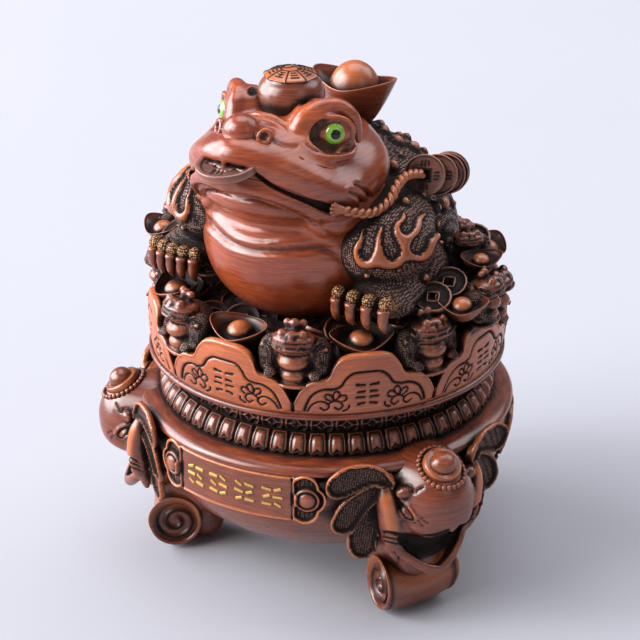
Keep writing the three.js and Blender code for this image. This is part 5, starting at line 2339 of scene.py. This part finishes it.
@dataclass
class ToadBody:
    """The stippled, warty back with the single hind leg, and the two front legs."""

    back_grain: float = 1.62
    arm_grain: float = 1.0
    toes_left: int = 4
    toes_right: int = 5
    warts: int = 110
    wart_radii: tuple[float, ...] = (1.9, 2.4, 3.0, 3.8)
    arm_warts: tuple[Triple, ...] = (
        (404, 203, 2.9), (436, 207.5, 3.7), (440, 244, 2.1), (423, 277.5, 2.7), (368, 274.5, 1.8), (459, 224, 2.4),
        (450, 259, 2.4), (422.5, 196, 2.2), (445.6, 202.5, 2.7), (398, 269, 1.4), (390, 298, 1.2),
    )  # pixels of the photograph, and radii in millimetres
    claw_sides: int = 14
    claw_rings: tuple[Triple, ...] = (
        (0.0, 2.9, 0.0), (1.2, 3.3, 0.0), (2.4, 2.9, 0.0), (5.5, 2.7, -0.6), (9.0, 2.1, -0.4), (12.0, 1.2, 1.0),
        (13.4, 0.3, 2.0),
    )  # how far down, radius, and how far back
    flames: tuple[Pair, ...] = (
        (363, 227), (364.5, 231), (363.8, 237), (362, 245), (360, 251.5), (361.5, 256), (366, 259.3), (370.5, 257.8),
        (373, 252.5), (375, 246),
        (375.8, 240), (377.5, 234), (380, 229), (383, 226), (382, 232.5), (381.3, 239), (382, 246), (383.3, 252.5),
        (386.5, 257.5), (390.3, 259.6),
        (395, 258.8), (398.8, 255), (400, 250), (398.6, 245), (395.6, 240), (393, 234), (393.2, 227.5), (395.6, 223),
        (400, 219.5), (402.4, 213),
        (405, 217.5), (404.2, 221.5), (401.3, 224.5), (399.5, 228), (400.7, 232.5), (404.4, 235), (408.8, 233.8),
        (412.4, 230), (414.3, 225),
        (415.6, 220), (418.8, 216.3), (426, 213.6), (423, 217.6), (420.6, 221.5), (420, 227.5), (417.4, 233.8),
        (412.5, 238.8), (409.5, 244), (408.8, 248.8),
        (411.3, 252.5), (416.3, 254.4), (421.3, 252.5), (425, 247.5), (427.5, 241), (431.3, 236.3), (436.2, 231.3),
        (439.4, 226.3), (440.6, 219.6),
        (442.6, 226), (442, 232.5), (438.8, 237.5), (434.4, 242.5), (432, 248.8), (429.4, 255), (423.8, 259.4),
        (417.5, 260.6), (410, 260),
        (403.8, 261.3), (400, 265), (393.8, 267.5), (386.3, 268), (377.5, 266.3), (370, 267.5), (363.8, 267),
        (358.8, 264.4), (355, 257.5),
        (354.4, 250), (356.3, 243.8), (360, 238.8), (362, 232.5),
    )

    def back(self) -> Clay:
        """The back and the hind leg."""
        thigh = Lump((35, 26, 182), (24, 30, 28), blend=5)
        foot = Lump((46, 40, 162), (14, 18, 12), blend=4)
        return Clay(
            [
                Lump((0, 14, 193), (57, 57, 41)),
                Lump((0, 0, 211), (40, 40, 26), blend=9),
                Lump((0, 27, 229), (13, 11, 9), blend=5),
                *both_sides([thigh, foot]),
                Lump((0, 62, 164), (17, 19, 17), blend=5),
            ],
            self.back_grain,
        )

    def arm(self, sign: int, toes: int) -> Clay:
        """One front leg with its hand.

        Args:
            sign: 1 for the toad's left, -1 for its right.
            toes: Toes on the hand.

        Returns:
            The clay.
        """
        forms: list[Form] = [
            Lump((49, -25, 197), (26, 27.5, 23)),
            Lump((46, -8, 205), (20, 19, 15), blend=6),
            Lump((60, -8, 178), (14, 20, 15), blend=5),
            Lump((60, -32, 175), (15, 22, 9), blend=5),
            Lump((57, -42, 173), (19, 11, 7), blend=5),
        ]
        for aside, ahead in finger_places(toes):
            forms.append(Roll(((aside, -42, 174), (aside, -ahead + 3, 177)), (3.9, 3.3), blend=1.0))
            forms.append(Lump((aside, -ahead, 179.3), (3.9, 4.1, 3.8), blend=0.25))
        return Clay(forms if sign > 0 else [form.mirrored() for form in forms], self.arm_grain)

    def carve_back(self, skin: Skin) -> None:
        """Stipples the back and raises its warts.

        Args:
            skin: The skin to carve.
        """
        skin.stipple[:] = 1.0
        places, radii = [], []
        for i in range(self.warts):
            turn, rise = i * GOLDEN_ANGLE, 0.12 + 0.86 * (i + 0.5) / self.warts
            ring = math.sqrt(max(1 - rise * rise, 0.0))
            place = np.array([58 * ring * math.cos(turn), 16 + 58 * ring * math.sin(turn), 190 + 44 * rise])
            if place[1] < -18:
                continue
            nearest = int(np.argmin(((skin.points - place.astype(np.float32)) ** 2).sum(axis=1)))
            places.append(skin.points[nearest].copy())
            radii.append(random.choice(self.wart_radii))
        skin.warts(places, radii)

    def carve_arm(self, skin: Skin) -> None:
        """Stipples the leg and raises its flames and warts.

        Args:
            skin: The skin to carve.
        """
        skin.stipple[:] = 1.0
        flame = skin.photo_shape(self.flames)
        raised = 1 - smoothstep(-0.7, 0.7, flame)
        crown = np.sqrt(np.clip(-flame / 2.2, 0, 1))
        skin.height += raised * 1.0 + crown * 1.8
        skin.stipple *= 1 - smoothstep(0.2, 0.8, raised)
        skin.darken(bell(np.maximum(flame, 0.5) - 0.5, 0.6) * (flame > 0.1) * 0.8)
        skin.gild(bell(flame + 0.7, 0.6) * 0.4 + raised * 0.25)
        pixels = TOAD_VIEW.pixels(skin.points)
        facing = np.abs(skin.normals[:, 0]) * 0.55 - skin.normals[:, 1] * 0.7 + skin.normals[:, 2] * 0.45
        away = np.where(facing < 0.1, 99, 0)
        places = []
        for column, row, _ in self.arm_warts:
            cost = np.linalg.norm(pixels - np.array((column, row)), axis=1) + away
            places.append(skin.points[int(np.argmin(cost))].copy())
        skin.warts(places, [radius for _, _, radius in self.arm_warts])
        for aside, ahead in finger_places(self.toes_left) + finger_places(self.toes_right):
            knuckle = (math.copysign(aside, skin.points[0, 0]), -ahead, 179.6)
            ball = np.linalg.norm(skin.points - knuckle, axis=1)
            skin.gild((1 - smoothstep(4.6, 5.2, ball)) * 0.75)

    def claw(self, aside: float, ahead: float) -> bpy.types.Mesh:
        """A smooth claw that hangs from a knuckle, with a collar at its root.

        Args:
            aside: How far to the toad's left the knuckle lies.
            ahead: How far forwards it lies.

        Returns:
            The closed mesh.
        """
        bm = bmesh.new()
        for drop, radius, back in self.claw_rings:
            place = Matrix.Translation((aside, -ahead - 2.6 + back, 177.5 - drop))
            bmesh.ops.create_circle(bm, segments=self.claw_sides, radius=radius, matrix=place)
        edges = bm.edges[:]
        for k in range(len(self.claw_rings) - 1):
            bmesh.ops.bridge_loops(bm, edges=edges[k * self.claw_sides : (k + 2) * self.claw_sides])
        bmesh.ops.holes_fill(bm, edges=bm.edges[:], sides=0)
        bmesh.ops.recalc_face_normals(bm, faces=bm.faces[:])
        return mesh_of(bm, "claw")

    def build(self, shop: Workshop) -> None:
        """Makes the back, the two legs and their claws.

        Args:
            shop: Takes the finished pieces.
        """
        shop.add_skin(self.back().skin("toad_back", self.carve_back), TOAD_TURN)
        for side, sign, toes in (("left", 1, self.toes_left), ("right", -1, self.toes_right)):
            shop.add_skin(self.arm(sign, toes).skin(f"toad_{side}_front_leg", self.carve_arm), TOAD_TURN)
            claws = [self.claw(sign * aside, ahead) for aside, ahead in finger_places(toes)]
            shop.add_mesh(f"toad_{side}_claws", gathered(claws, "claws"), TOAD_TURN)


@dataclass
class ToadCrown:
    """What the toad wears: the barrel with its medallion and the ingot behind it."""

    barrel: Pair = (0.0, -33.0)
    outline: tuple[Pair, ...] = (
        (12.4, 246), (14.0, 252), (15.8, 258), (16.9, 264), (16.7, 269), (15.2, 273), (13.2, 275.4), (12.2, 276.8),
    )
    cap: float = 13.6
    cap_grain: Pair = (1.875, 1 / 38)
    rows: tuple[float, ...] = (6.9, 8.8, 10.7)
    ingot: Ingot = Ingot("crown_ingot", 24.6, 16.0, 21.0, 12.6, 16.3, 5.6)
    ingot_place: Triple = (-0.6, 27, 234.8)

    def barrel_mesh(self) -> bpy.types.Mesh:
        """The barrel between the brows."""
        side = [tuple(p) for p in smooth_line(self.outline, 5)]
        return spun("barrel", [*side, (0.0, self.outline[-1][1])], 96)

    def medallion(self) -> Skin:
        """The eight-sided domed top, with strokes in each sector round a swirl."""
        def shape(degrees: np.ndarray, share: np.ndarray) -> np.ndarray:
            """The dome out to its eight-sided edge, and down the edge.

            Args:
                degrees: Bearings round the axis.
                share: How far along the way each place lies.

            Returns:
                The places in space.
            """
            a = np.radians(degrees)
            edge = (1 / np.cos(np.radians(nearest_spot(degrees, 8)))) ** 0.7 * 0.975
            under = np.clip(share - 1, 0, 1)
            dome = 279.6 - 3.4 * np.minimum(share, 1) ** 2 - under * 6
            inside = self.cap * share * (1 + (edge - 1) * smoothstep(0.5, 1.0, share))
            reach = np.where(share > 1, self.cap * edge - under * 8, inside)
            return np.stack([reach * np.cos(a), reach * np.sin(a), dome], axis=1)

        skin = weave("medallion", (0, 0), (360, 1.2), self.cap_grain, shape)
        degrees, share = skin.flat[:, 0], skin.flat[:, 1]
        radius = share * self.cap
        sector = nearest_spot(degrees, 8)
        side = np.radians(sector) * radius
        spoke = np.radians(22.5 - np.abs(sector)) * radius
        top = (share < 0.97).astype(float)
        lines = bell(spoke, 0.26) * (radius > 5.0)
        lines = np.maximum(lines, bell(radius - 4.9, 0.28))
        for row in self.rows:
            lines = np.maximum(lines, bell(radius - row, 0.27) * (np.abs(side) < row * 0.22))
        every_other = np.mod(np.round(degrees / 45), 2) == 0
        lines = np.maximum(lines, bell(side, 0.26) * (radius > 7.8) * (radius < 11.2) * every_other)
        a = np.radians(degrees)
        x, y = radius * np.cos(a), radius * np.sin(a)
        swirl = np.abs(np.hypot(x - np.where(y > 0, 2.0, -2.0), y) - 2.0)
        lines = np.maximum(lines, bell(swirl, 0.28) * (radius < 4.6))
        skin.height -= lines * 0.5 * top
        skin.stain_and_shade = np.minimum(lines * 1.6, 1.0) * top
        skin.glow = (1 - lines) * 0.8 * top
        skin.height += bell(share - 0.985, 0.03) * 0.4
        return skin

    def build(self, shop: Workshop) -> None:
        """Makes the barrel, the medallion and the crown ingot.

        Args:
            shop: Takes the finished pieces.
        """
        mesh = self.barrel_mesh()
        mesh.transform(Matrix.Translation((*self.barrel, 0)))
        shop.add_mesh("crown_barrel", mesh, TOAD_TURN)
        cap = carved(self.medallion())
        cap.points = cap.points + np.array((*self.barrel, 0.6), np.float32)
        shop.add_skin(cap, TOAD_TURN)
        shop.add_copies("crown_ingot", self.ingot.skin(88, 13), [Matrix.Translation(self.ingot_place)], TOAD_TURN)


@dataclass
class CoinString:
    """The twisted rope from the mouth's corner and the row of coins that it carries, on both sides."""

    rope: tuple[Triple, ...] = (
        (45.6, -56.2, 223.1), (48.2, -52.0, 221.2), (52.3, -44.6, 218.9), (54.6, -37, 219), (56, -30, 222.1),
        (55.6, -23, 226.9), (55.2, -14, 229),
        (56.5, -6, 228), (57, -1, 226.2),
    )
    twist: float = 8.2  # millimetres along the rope for one turn of a strand
    frays: int = 9
    first: Triple = (57.6, 0.4, 225.6)
    fan: tuple[Pair, ...] = ((0.0, 0.0), (6.0, 2.6), (9.8, 5.0), (11.6, 7.6), (12.8, 10.4))
    coin_radius: float = 10.4
    strand: float = 1.45

    def tube(self, line: np.ndarray, radii: np.ndarray, sides: int = 10) -> bpy.types.Mesh:
        """A round tube along a line.

        Args:
            line: The line's points, one a row.
            radii: The tube's radius at each of them.
            sides: Faces round it.

        Returns:
            The closed mesh.
        """
        bm = bmesh.new()
        rings = []
        for k, (place, radius) in enumerate(zip(line, radii)):
            ahead = Vector((line[min(k + 1, len(line) - 1)] - line[max(k - 1, 0)]).tolist())
            matrix = Matrix.Translation(place.tolist()) @ aimed(ahead)
            rings.append(bmesh.ops.create_circle(bm, segments=sides, radius=float(radius), matrix=matrix)["verts"])
        walled(bm, rings)
        bm.faces.new(rings[0])
        bm.faces.new(rings[-1])
        bmesh.ops.recalc_face_normals(bm, faces=bm.faces[:])
        return mesh_of(bm, "strand")

    def coin(self) -> Skin:
        """A large coin with a thin rim, a square hole and four groups of strokes, flat at the origin."""
        def shape(degrees: np.ndarray, share: np.ndarray) -> np.ndarray:
            """From the hole's lower edge over the face to the outer edge.

            Args:
                degrees: Bearings round the axis.
                share: How far along the way each place lies.

            Returns:
                The places in space.
            """
            steps = [0, 1, 8, 8.4, 9, 9.6, 10]
            place = np.interp(share, steps, [0, 0, 0.88, 0.90, 0.97, 1.0, 1.0])
            level = np.interp(share, steps, [-0.8, 0.75, 0.75, 1.15, 1.2, 0.8, -0.8])
            return holed_disc(degrees, self.coin_radius, 2.3, place, level)

        skin = weave("string_coin", (0, 0), (360, 10), (360 / 64, 0.6), shape)
        x, y = skin.points[:, 0].copy(), skin.points[:, 1].copy()
        face = ((skin.flat[:, 1] > 1.2) & (skin.flat[:, 1] < 8.0)).astype(float)
        lines = bell(np.maximum(np.abs(x), np.abs(y)) - 3.2, 0.35)
        for (across, along), k in product(((x, y), (y, x)), (-1, 0, 1)):
            beyond = np.maximum(np.abs(np.abs(along) - 6.1) - (1.3 - 0.3 * abs(k)), 0)
            lines = np.maximum(lines, bell(np.hypot(np.abs(across - 1.7 * k) - 0.05, beyond), 0.42))
        skin.height -= 0.3 * lines * face
        skin.stain_and_shade = lines * face * 0.9 + (skin.flat[:, 1] < 1.0) * 0.6 + bell(skin.flat[:, 1] - 8.0, 0.35) * 0.5
        skin.glow = bell(skin.flat[:, 1] - 9.0, 0.5) * 0.3
        return carved(skin)

    def rope_mesh(self) -> bpy.types.Mesh:
        """Two strands twisted round each other, with a frayed knot at the mouth."""
        middle = smooth_line(self.rope, 26)
        run = np.concatenate([[0], np.cumsum(np.linalg.norm(np.diff(middle, axis=0), axis=1))])
        ahead = np.gradient(middle, axis=0)
        ahead /= np.linalg.norm(ahead, axis=1)[:, None]
        side = np.cross(ahead, (0, 0, 1.0))
        side /= np.linalg.norm(side, axis=1)[:, None]
        up = np.cross(side, ahead)
        parts = []
        for phase in (0.0, math.pi):
            twist = run * TAU / self.twist + phase
            line = middle + 1.15 * (side * np.cos(twist)[:, None] + up * np.sin(twist)[:, None])
            parts.append(self.tube(line[::2], np.full(len(line[::2]), self.strand)))
        start = Vector(self.rope[0])
        for k in range(self.frays):
            a = TAU * k / self.frays
            splay = Vector((0.4 * math.cos(a), 2.3 * math.cos(a), 3.2 * math.sin(a)))
            tip = start + Vector((-3.4, -4.0, 1.0)) + splay
            line = smooth_line([start + Vector((1.5, 1.5, -0.6)), start.lerp(tip, 0.45), tip], 4)
            parts.append(self.tube(line, np.linspace(1.5, 0.8, len(line)), 8))
        return gathered(parts, "rope")

    def build(self, shop: Workshop) -> None:
        """Makes both ropes and both rows of coins.

        Args:
            shop: Takes the finished pieces.
        """
        both = (Matrix.Identity(4), Matrix.Diagonal((-1, 1, 1, 1)))
        rope = copied(self.rope_mesh(), both, "mouth_ropes")
        shop.add_mesh("mouth_ropes", rope, TOAD_TURN, traits={"glow": np.full(len(rope.vertices), 0.45)})
        spots = []
        for sign in (1, -1):
            for k, (aside, behind) in enumerate(self.fan):
                facing = heading(sign * (20 + 3 * k), 20 - 2 * k)
                middle = Vector((sign * self.first[0], self.first[1], self.first[2])) - facing * behind
                middle += Vector((sign * 0.84, 0.54, 0)) * aside
                spots.append(Matrix.Translation(middle) @ aimed(facing))
        shop.add_copies("string_coins", self.coin(), spots, TOAD_TURN)


@dataclass
class MouthCoin:
    """The coin between the lips, in bold relief, its front edge low."""

    radius: float = 15.5
    thickness: float = 3.8
    centre: Triple = (0.0, -87.4, 246.6)
    tilt: float = 10.0

    def build(self, shop: Workshop) -> None:
        """Makes the coin.

        Args:
            shop: Takes the finished pieces.
        """
        def shape(degrees: np.ndarray, share: np.ndarray) -> np.ndarray:
            """From the middle of the upper face over the rim to the middle of the lower one.

            Args:
                degrees: Bearings round the axis.
                share: How far along the way each place lies.

            Returns:
                The places in space.
            """
            a = np.radians(degrees)
            steps = [0, 1, 5.2, 5.5, 6.0, 6.6, 7.6, 8, 9]
            reach = self.radius * np.interp(share, steps, [0.0, 0.16, 0.80, 0.84, 0.90, 0.97, 1.0, 0.98, 0])
            level = self.thickness * np.interp(share, steps, [0.15, 0.15, 0.15, 0.42, 0.5, 0.44, -0.3, -0.5, -0.5])
            return np.stack([reach * np.cos(a), reach * np.sin(a), level], axis=1)

        skin = weave("mouth_coin", (0, 0), (360, 9), (360 / 128, 0.2), shape)
        x, y = skin.points[:, 0].copy(), skin.points[:, 1].copy()
        upper = (skin.flat[:, 1] < 5.3).astype(float)
        square = np.abs(np.maximum(np.abs(x), np.abs(y)) - 3.6)
        skin.ridge(square, 0.8, 1.5, upper)
        for (across, along), sign, k in product(((x, y), (y, x)), (1, -1), (-1, 0, 1)):
            far = np.hypot((np.abs(across - 2.2 * k) - 0.1).clip(0), (np.abs(along - sign * 8.0) - 1.9).clip(0))
            skin.ridge(far, 0.7, 1.6, upper)
        skin.stain_and_shade = upper * smoothstep(0.6, 0.0, skin.height) * 0.2
        skin.glow = upper * smoothstep(0.6, 1.4, skin.height) * 0.5
        place = Matrix.Translation(self.centre) @ about("X", self.tilt)
        shop.add_copies("mouth_coin_relief", carved(skin), [place], TOAD_TURN)


@dataclass
class GlassEyes:
    """The two glass eyes: a green ring round a black pupil under a clear dome."""

    centre: Triple = (32.5, -44.0, 255.7)
    facing: Triple = (0.70, -0.70, 0.16)
    parts: tuple[tuple[str, Triple], ...] = (("glass_eye", (5.3, 3.0, 0.0)), ("pupil", (3.0, 2.0, 1.5)))

    def build(self, shop: Workshop) -> None:
        """Makes both eyes.

        Args:
            shop: Takes the finished pieces.
        """
        for side, sign in (("left", 1), ("right", -1)):
            out = Vector((self.facing[0] * sign, self.facing[1], self.facing[2])).normalized()
            spot = Vector((self.centre[0] * sign, self.centre[1], self.centre[2]))
            for name, (width, deep, lift) in self.parts:
                bm = bmesh.new()
                size = Matrix.Translation((0, 0, lift)) @ Matrix.Diagonal((width, width, deep, 1.0))
                place = Matrix.Translation(spot) @ aimed(out) @ size
                bmesh.ops.create_uvsphere(bm, u_segments=36, v_segments=18, radius=1.0, matrix=place)
                shop.add_mesh(f"{side}_{name}_dome", mesh_of(bm, name), TOAD_TURN)


# The room


@dataclass(frozen=True)
class Lamp:
    """A soft square lamp that faces the toad."""

    name: str
    bearing: float  # degrees to the right of the camera's side, seen from the toad
    lift: float  # degrees above the floor
    size: float  # edge in metres
    power: float  # watts
    colour: Triple

    def place(self, away: float, aim: float) -> None:
        """Hangs the lamp.

        Args:
            away: Distance from the toad in metres.
            aim: Height in metres of what it faces.
        """
        data = bpy.data.lights.new(self.name, "AREA")
        data.size, data.energy, data.color = self.size, self.power, self.colour
        out = heading(PHOTO.azimuth + self.bearing, self.lift)
        set_up(object_of(self.name, data), AXIS + Vector((0, 0, aim)) + out * away, -out)


@dataclass(frozen=True)
class Studio:
    """A pale cloth-coloured floor and soft light, mostly from the left."""

    floor_colour: Triple = (0.382, 0.385, 0.416)
    floor_edge: float = 6.0
    lamps: tuple[Lamp, ...] = (
        Lamp("key_lamp", -70, 32, 6.0, 920.0, (1.0, 0.99, 0.98)),
        Lamp("side_lamp", -104, 17, 9.0, 2500.0, (0.92, 0.93, 1.0)),
        Lamp("fill_lamp", 40, 30, 4.0, 50.0, (1.0, 0.96, 0.93)),
        Lamp("rim_lamp", 118, 42, 6.0, 320.0, (0.96, 0.96, 1.0)),
        Lamp("top_lamp", 178, 74, 7.0, 520.0, (0.94, 0.94, 1.0)),
    )
    lamp_distance: float = 9.0
    lamp_aim: float = 0.14
    sky_colour: Triple = (0.86, 0.87, 0.96)
    sky: float = 0.26

    def floor(self) -> None:
        """The floor, far larger than the picture."""
        bm = bmesh.new()
        bmesh.ops.create_grid(bm, x_segments=8, y_segments=8, size=self.floor_edge)
        mesh = mesh_of(bm, "studio_floor")
        mesh.materials.append(PlainFinish("floor_cloth", self.floor_colour, 0.9, variation=0.02, grain=3.0).build())
        object_of("studio_floor", mesh)

    def build(self) -> None:
        """Makes the floor, the lamps and the sky."""
        self.floor()
        for lamp in self.lamps:
            lamp.place(self.lamp_distance, self.lamp_aim)
        world = bpy.data.worlds.new("pale_room")
        bpy.context.scene.world = world
        world.use_nodes = True
        sockets = world.node_tree.nodes["Background"].inputs
        sockets["Color"].default_value = (*self.sky_colour, 1.0)
        sockets["Strength"].default_value = self.sky


# Wash, painted shade and rubbing: what age leaves in the hollows and on the edges, and painted shade where pieces
# crowd each other


@dataclass
class PatinaAndShade:
    """Works out, for each point of each piece, how deep it lies in a hollow, how crowded it is by the pieces round
    it, and how far it stands out; the crowding becomes painted shade.
    """

    cell: float = 2.2 * MM
    reach: float = 5.0 * MM
    margin: int = 12  # cells round the whole
    calm: tuple[str, ...] = (
        "toad_head", "toad_belly", "mouth_coin_relief", "medallion", "crown_ingot", "elephant_rolls",
    )
    # the crowded share is painted shade, darkening points as ambient occlusion would
    calm_wash_and_shade: Triple = (0.42, 0.12, 0.22)  # shares of narrow hollows, of crowded places and of broad hollows
    rough_wash_and_shade: Triple = (0.75, 0.85, 0.4)

    def crowding(self, clouds: list[tuple[np.ndarray, np.ndarray]]) -> list[np.ndarray]:
        """How crowded the space in front of each point is; it sets the painted shade.

        Args:
            clouds: Points and normals of each piece, in metres.

        Returns:
            For each piece, a value per point: about 1 in the open and more in a hollow.
        """
        low = np.min([p.min(axis=0) for p, _ in clouds], axis=0) - self.margin * self.cell
        high = np.max([p.max(axis=0) for p, _ in clouds], axis=0) + self.margin * self.cell
        shape = np.ceil((high - low) / self.cell).astype(int)
        taken = np.zeros(shape, np.float32)
        for points, _ in clouds:
            cells = ((points - low) / self.cell).astype(int)
            taken[cells[:, 0], cells[:, 1], cells[:, 2]] = 1.0
        for _ in range(3):
            for axis in range(3):
                taken = (np.roll(taken, 1, axis) + taken + np.roll(taken, -1, axis)) / 3.0
        made = []
        for points, normals in clouds:
            value = np.zeros(len(points), np.float32)
            for share in (0.8, 1.5):
                cells = ((points + normals * self.reach * share - low) / self.cell).astype(int)
                value += taken[cells[:, 0], cells[:, 1], cells[:, 2]]
            made.append(value)
        return made

    def bends(self, mesh: bpy.types.Mesh, normals: np.ndarray) -> tuple[np.ndarray, np.ndarray]:
        """How the mesh bends, over a millimetre or two and over several.

        Args:
            mesh: The piece's mesh, in metres.
            normals: Its normals.

        Returns:
            Small and broad turns in ones per millimetre, positive where the surface stands out.
        """
        points = read_points(mesh) / MM
        edges = edge_ends(mesh)
        step = float(np.median(np.linalg.norm(points[edges[:, 0]] - points[edges[:, 1]], axis=1)))
        found = []
        for width in (0.8, 1.8, 4.0):
            rounds = int(np.clip(2 * (width / step) ** 2, 1, 40))
            spread = step * math.sqrt(rounds / 2)
            even = relaxed(mesh, points, rounds, edges)
            found.append(((points - even) * normals).sum(axis=1) / spread**2)
        return found[0] + found[1], found[2]

    def apply(self, pieces: Sequence[Piece]) -> None:
        """Writes the wash, the painted shade of crowded places and the rubbing into the pieces.

        Args:
            pieces: The finished pieces.
        """
        clouds = []
        for piece in pieces:
            mesh = piece.thing.data
            normals = np.empty(len(mesh.vertices) * 3, np.float32)
            mesh.vertices.foreach_get("normal", normals)
            clouds.append((read_points(mesh), normals.reshape(-1, 3)))
        crowds = self.crowding(clouds)
        for piece, (_, normals), crowd in zip(pieces, clouds, crowds):
            mesh = piece.thing.data
            small, broad = self.bends(mesh, normals)
            fine, deep, wide = self.calm_wash_and_shade if piece.name in self.calm else self.rough_wash_and_shade
            # painted shade: the crowded share darkens points that other pieces crowd, as ambient occlusion would; the
            # narrow and broad hollows are the dark wash
            wash_and_shade = smoothstep(0.06, 0.50, -small) * fine + smoothstep(0.34, 0.80, crowd) * deep
            wash_and_shade += smoothstep(0.01, 0.16, -broad) * wide
            rub = smoothstep(0.20, 1.30, small) + smoothstep(0.09, 0.30, broad) * 0.45
            # the rubbing is weakened where pieces crowd each other, in step with the painted shade
            rub *= 1 - smoothstep(0.5, 0.95, crowd) * 0.6
            write_trait(mesh, "wash_and_shade", np.clip(wash_and_shade, 0, 1))
            write_trait(mesh, "rub", rub)


RESIN = AntiqueResin()
SPECIAL_FINISHES: tuple[tuple[AntiqueResin | PlainFinish, tuple[str, ...]], ...] = (
    (
        AntiqueResin("smooth_skin", (0.058, 0.011, 0.006), (0.205, 0.035, 0.012), (0.46, 0.098, 0.025), streak=0.5),
        ("toad_head", "toad_belly"),
    ),
    (
        AntiqueResin("stand_resin", (0.036, 0.009, 0.006), (0.125, 0.025, 0.011), (0.30, 0.064, 0.019), streak=0.7),
        ("stand_bowl", "elephant_heads", "tray_rim"),
    ),
    (
        AntiqueResin("tan_resin", (0.095, 0.017, 0.007), (0.27, 0.054, 0.015), (0.52, 0.13, 0.030)),
        ("tray_panels",),
    ),
    (
        AntiqueResin(
            "coin_resin", (0.06, 0.020, 0.014), (0.15, 0.052, 0.036), (0.28, 0.10, 0.062), (0.42, 0.16, 0.085),
            wash_and_shade=(0.022, 0.010, 0.008),
        ),
        ("mouth_coin_relief", "string_coins"),
    ),
    (
        AntiqueResin("fine_resin", dots=(0.17, 0.075, 0.05), stipple_pitch=0.85),
        ("elephant_ears", "stand_plaque", "small_toads"),
    ),
    (PlainFinish("gilding", (0.85, 0.55, 0.16), 0.35, metallic=1.0), ("plaque_strokes",)),
    (PlainFinish("green_eye", (0.21, 0.46, 0.03), 0.06, coat=1.0), ("left_glass_eye_dome", "right_glass_eye_dome")),
    (PlainFinish("black_pupil", (0.004, 0.004, 0.004), 0.22), ("left_pupil_dome", "right_pupil_dome")),
)


def main() -> None:
    """Builds the studio, the pieces and their finishes."""
    logging.basicConfig(level=logging.INFO, format="%(message)s")
    random.seed(8)
    PHOTO.place()
    Studio().build()
    shop = Workshop()
    bowl = Bowl()
    stand = (bowl, PetalBorder(), CoinBand(), Plaque(), SideScrolls(bowl), Elephant())
    toad = (ToadHead(), ToadBelly(), ToadBody(), ToadCrown(), CoinString(), MouthCoin(), GlassEyes())
    for part in (*stand, Tray(), Heap(), *toad):
        part.build(shop)
    things = {piece.name: piece.thing for piece in shop.pieces}
    resin = RESIN.build()
    special: dict[str, bpy.types.Material] = {}
    for finish, names in SPECIAL_FINISHES:
        special.update(dict.fromkeys(names, finish.build()))
    for name, thing in things.items():
        thing.data.materials.append(special.get(name, resin))
    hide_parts("elephant_stand")
    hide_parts("toad_on_tray")
    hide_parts("mouth_coin")
    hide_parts("left_glass_eye")
    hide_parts("right_glass_eye")
    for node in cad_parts.values():
        node.data.materials.clear()
        node.data.materials.append(resin)
    bpy.context.scene.view_settings.view_transform = "Standard"
    PatinaAndShade().apply(shop.pieces)


if __name__ == "__main__":
    main()
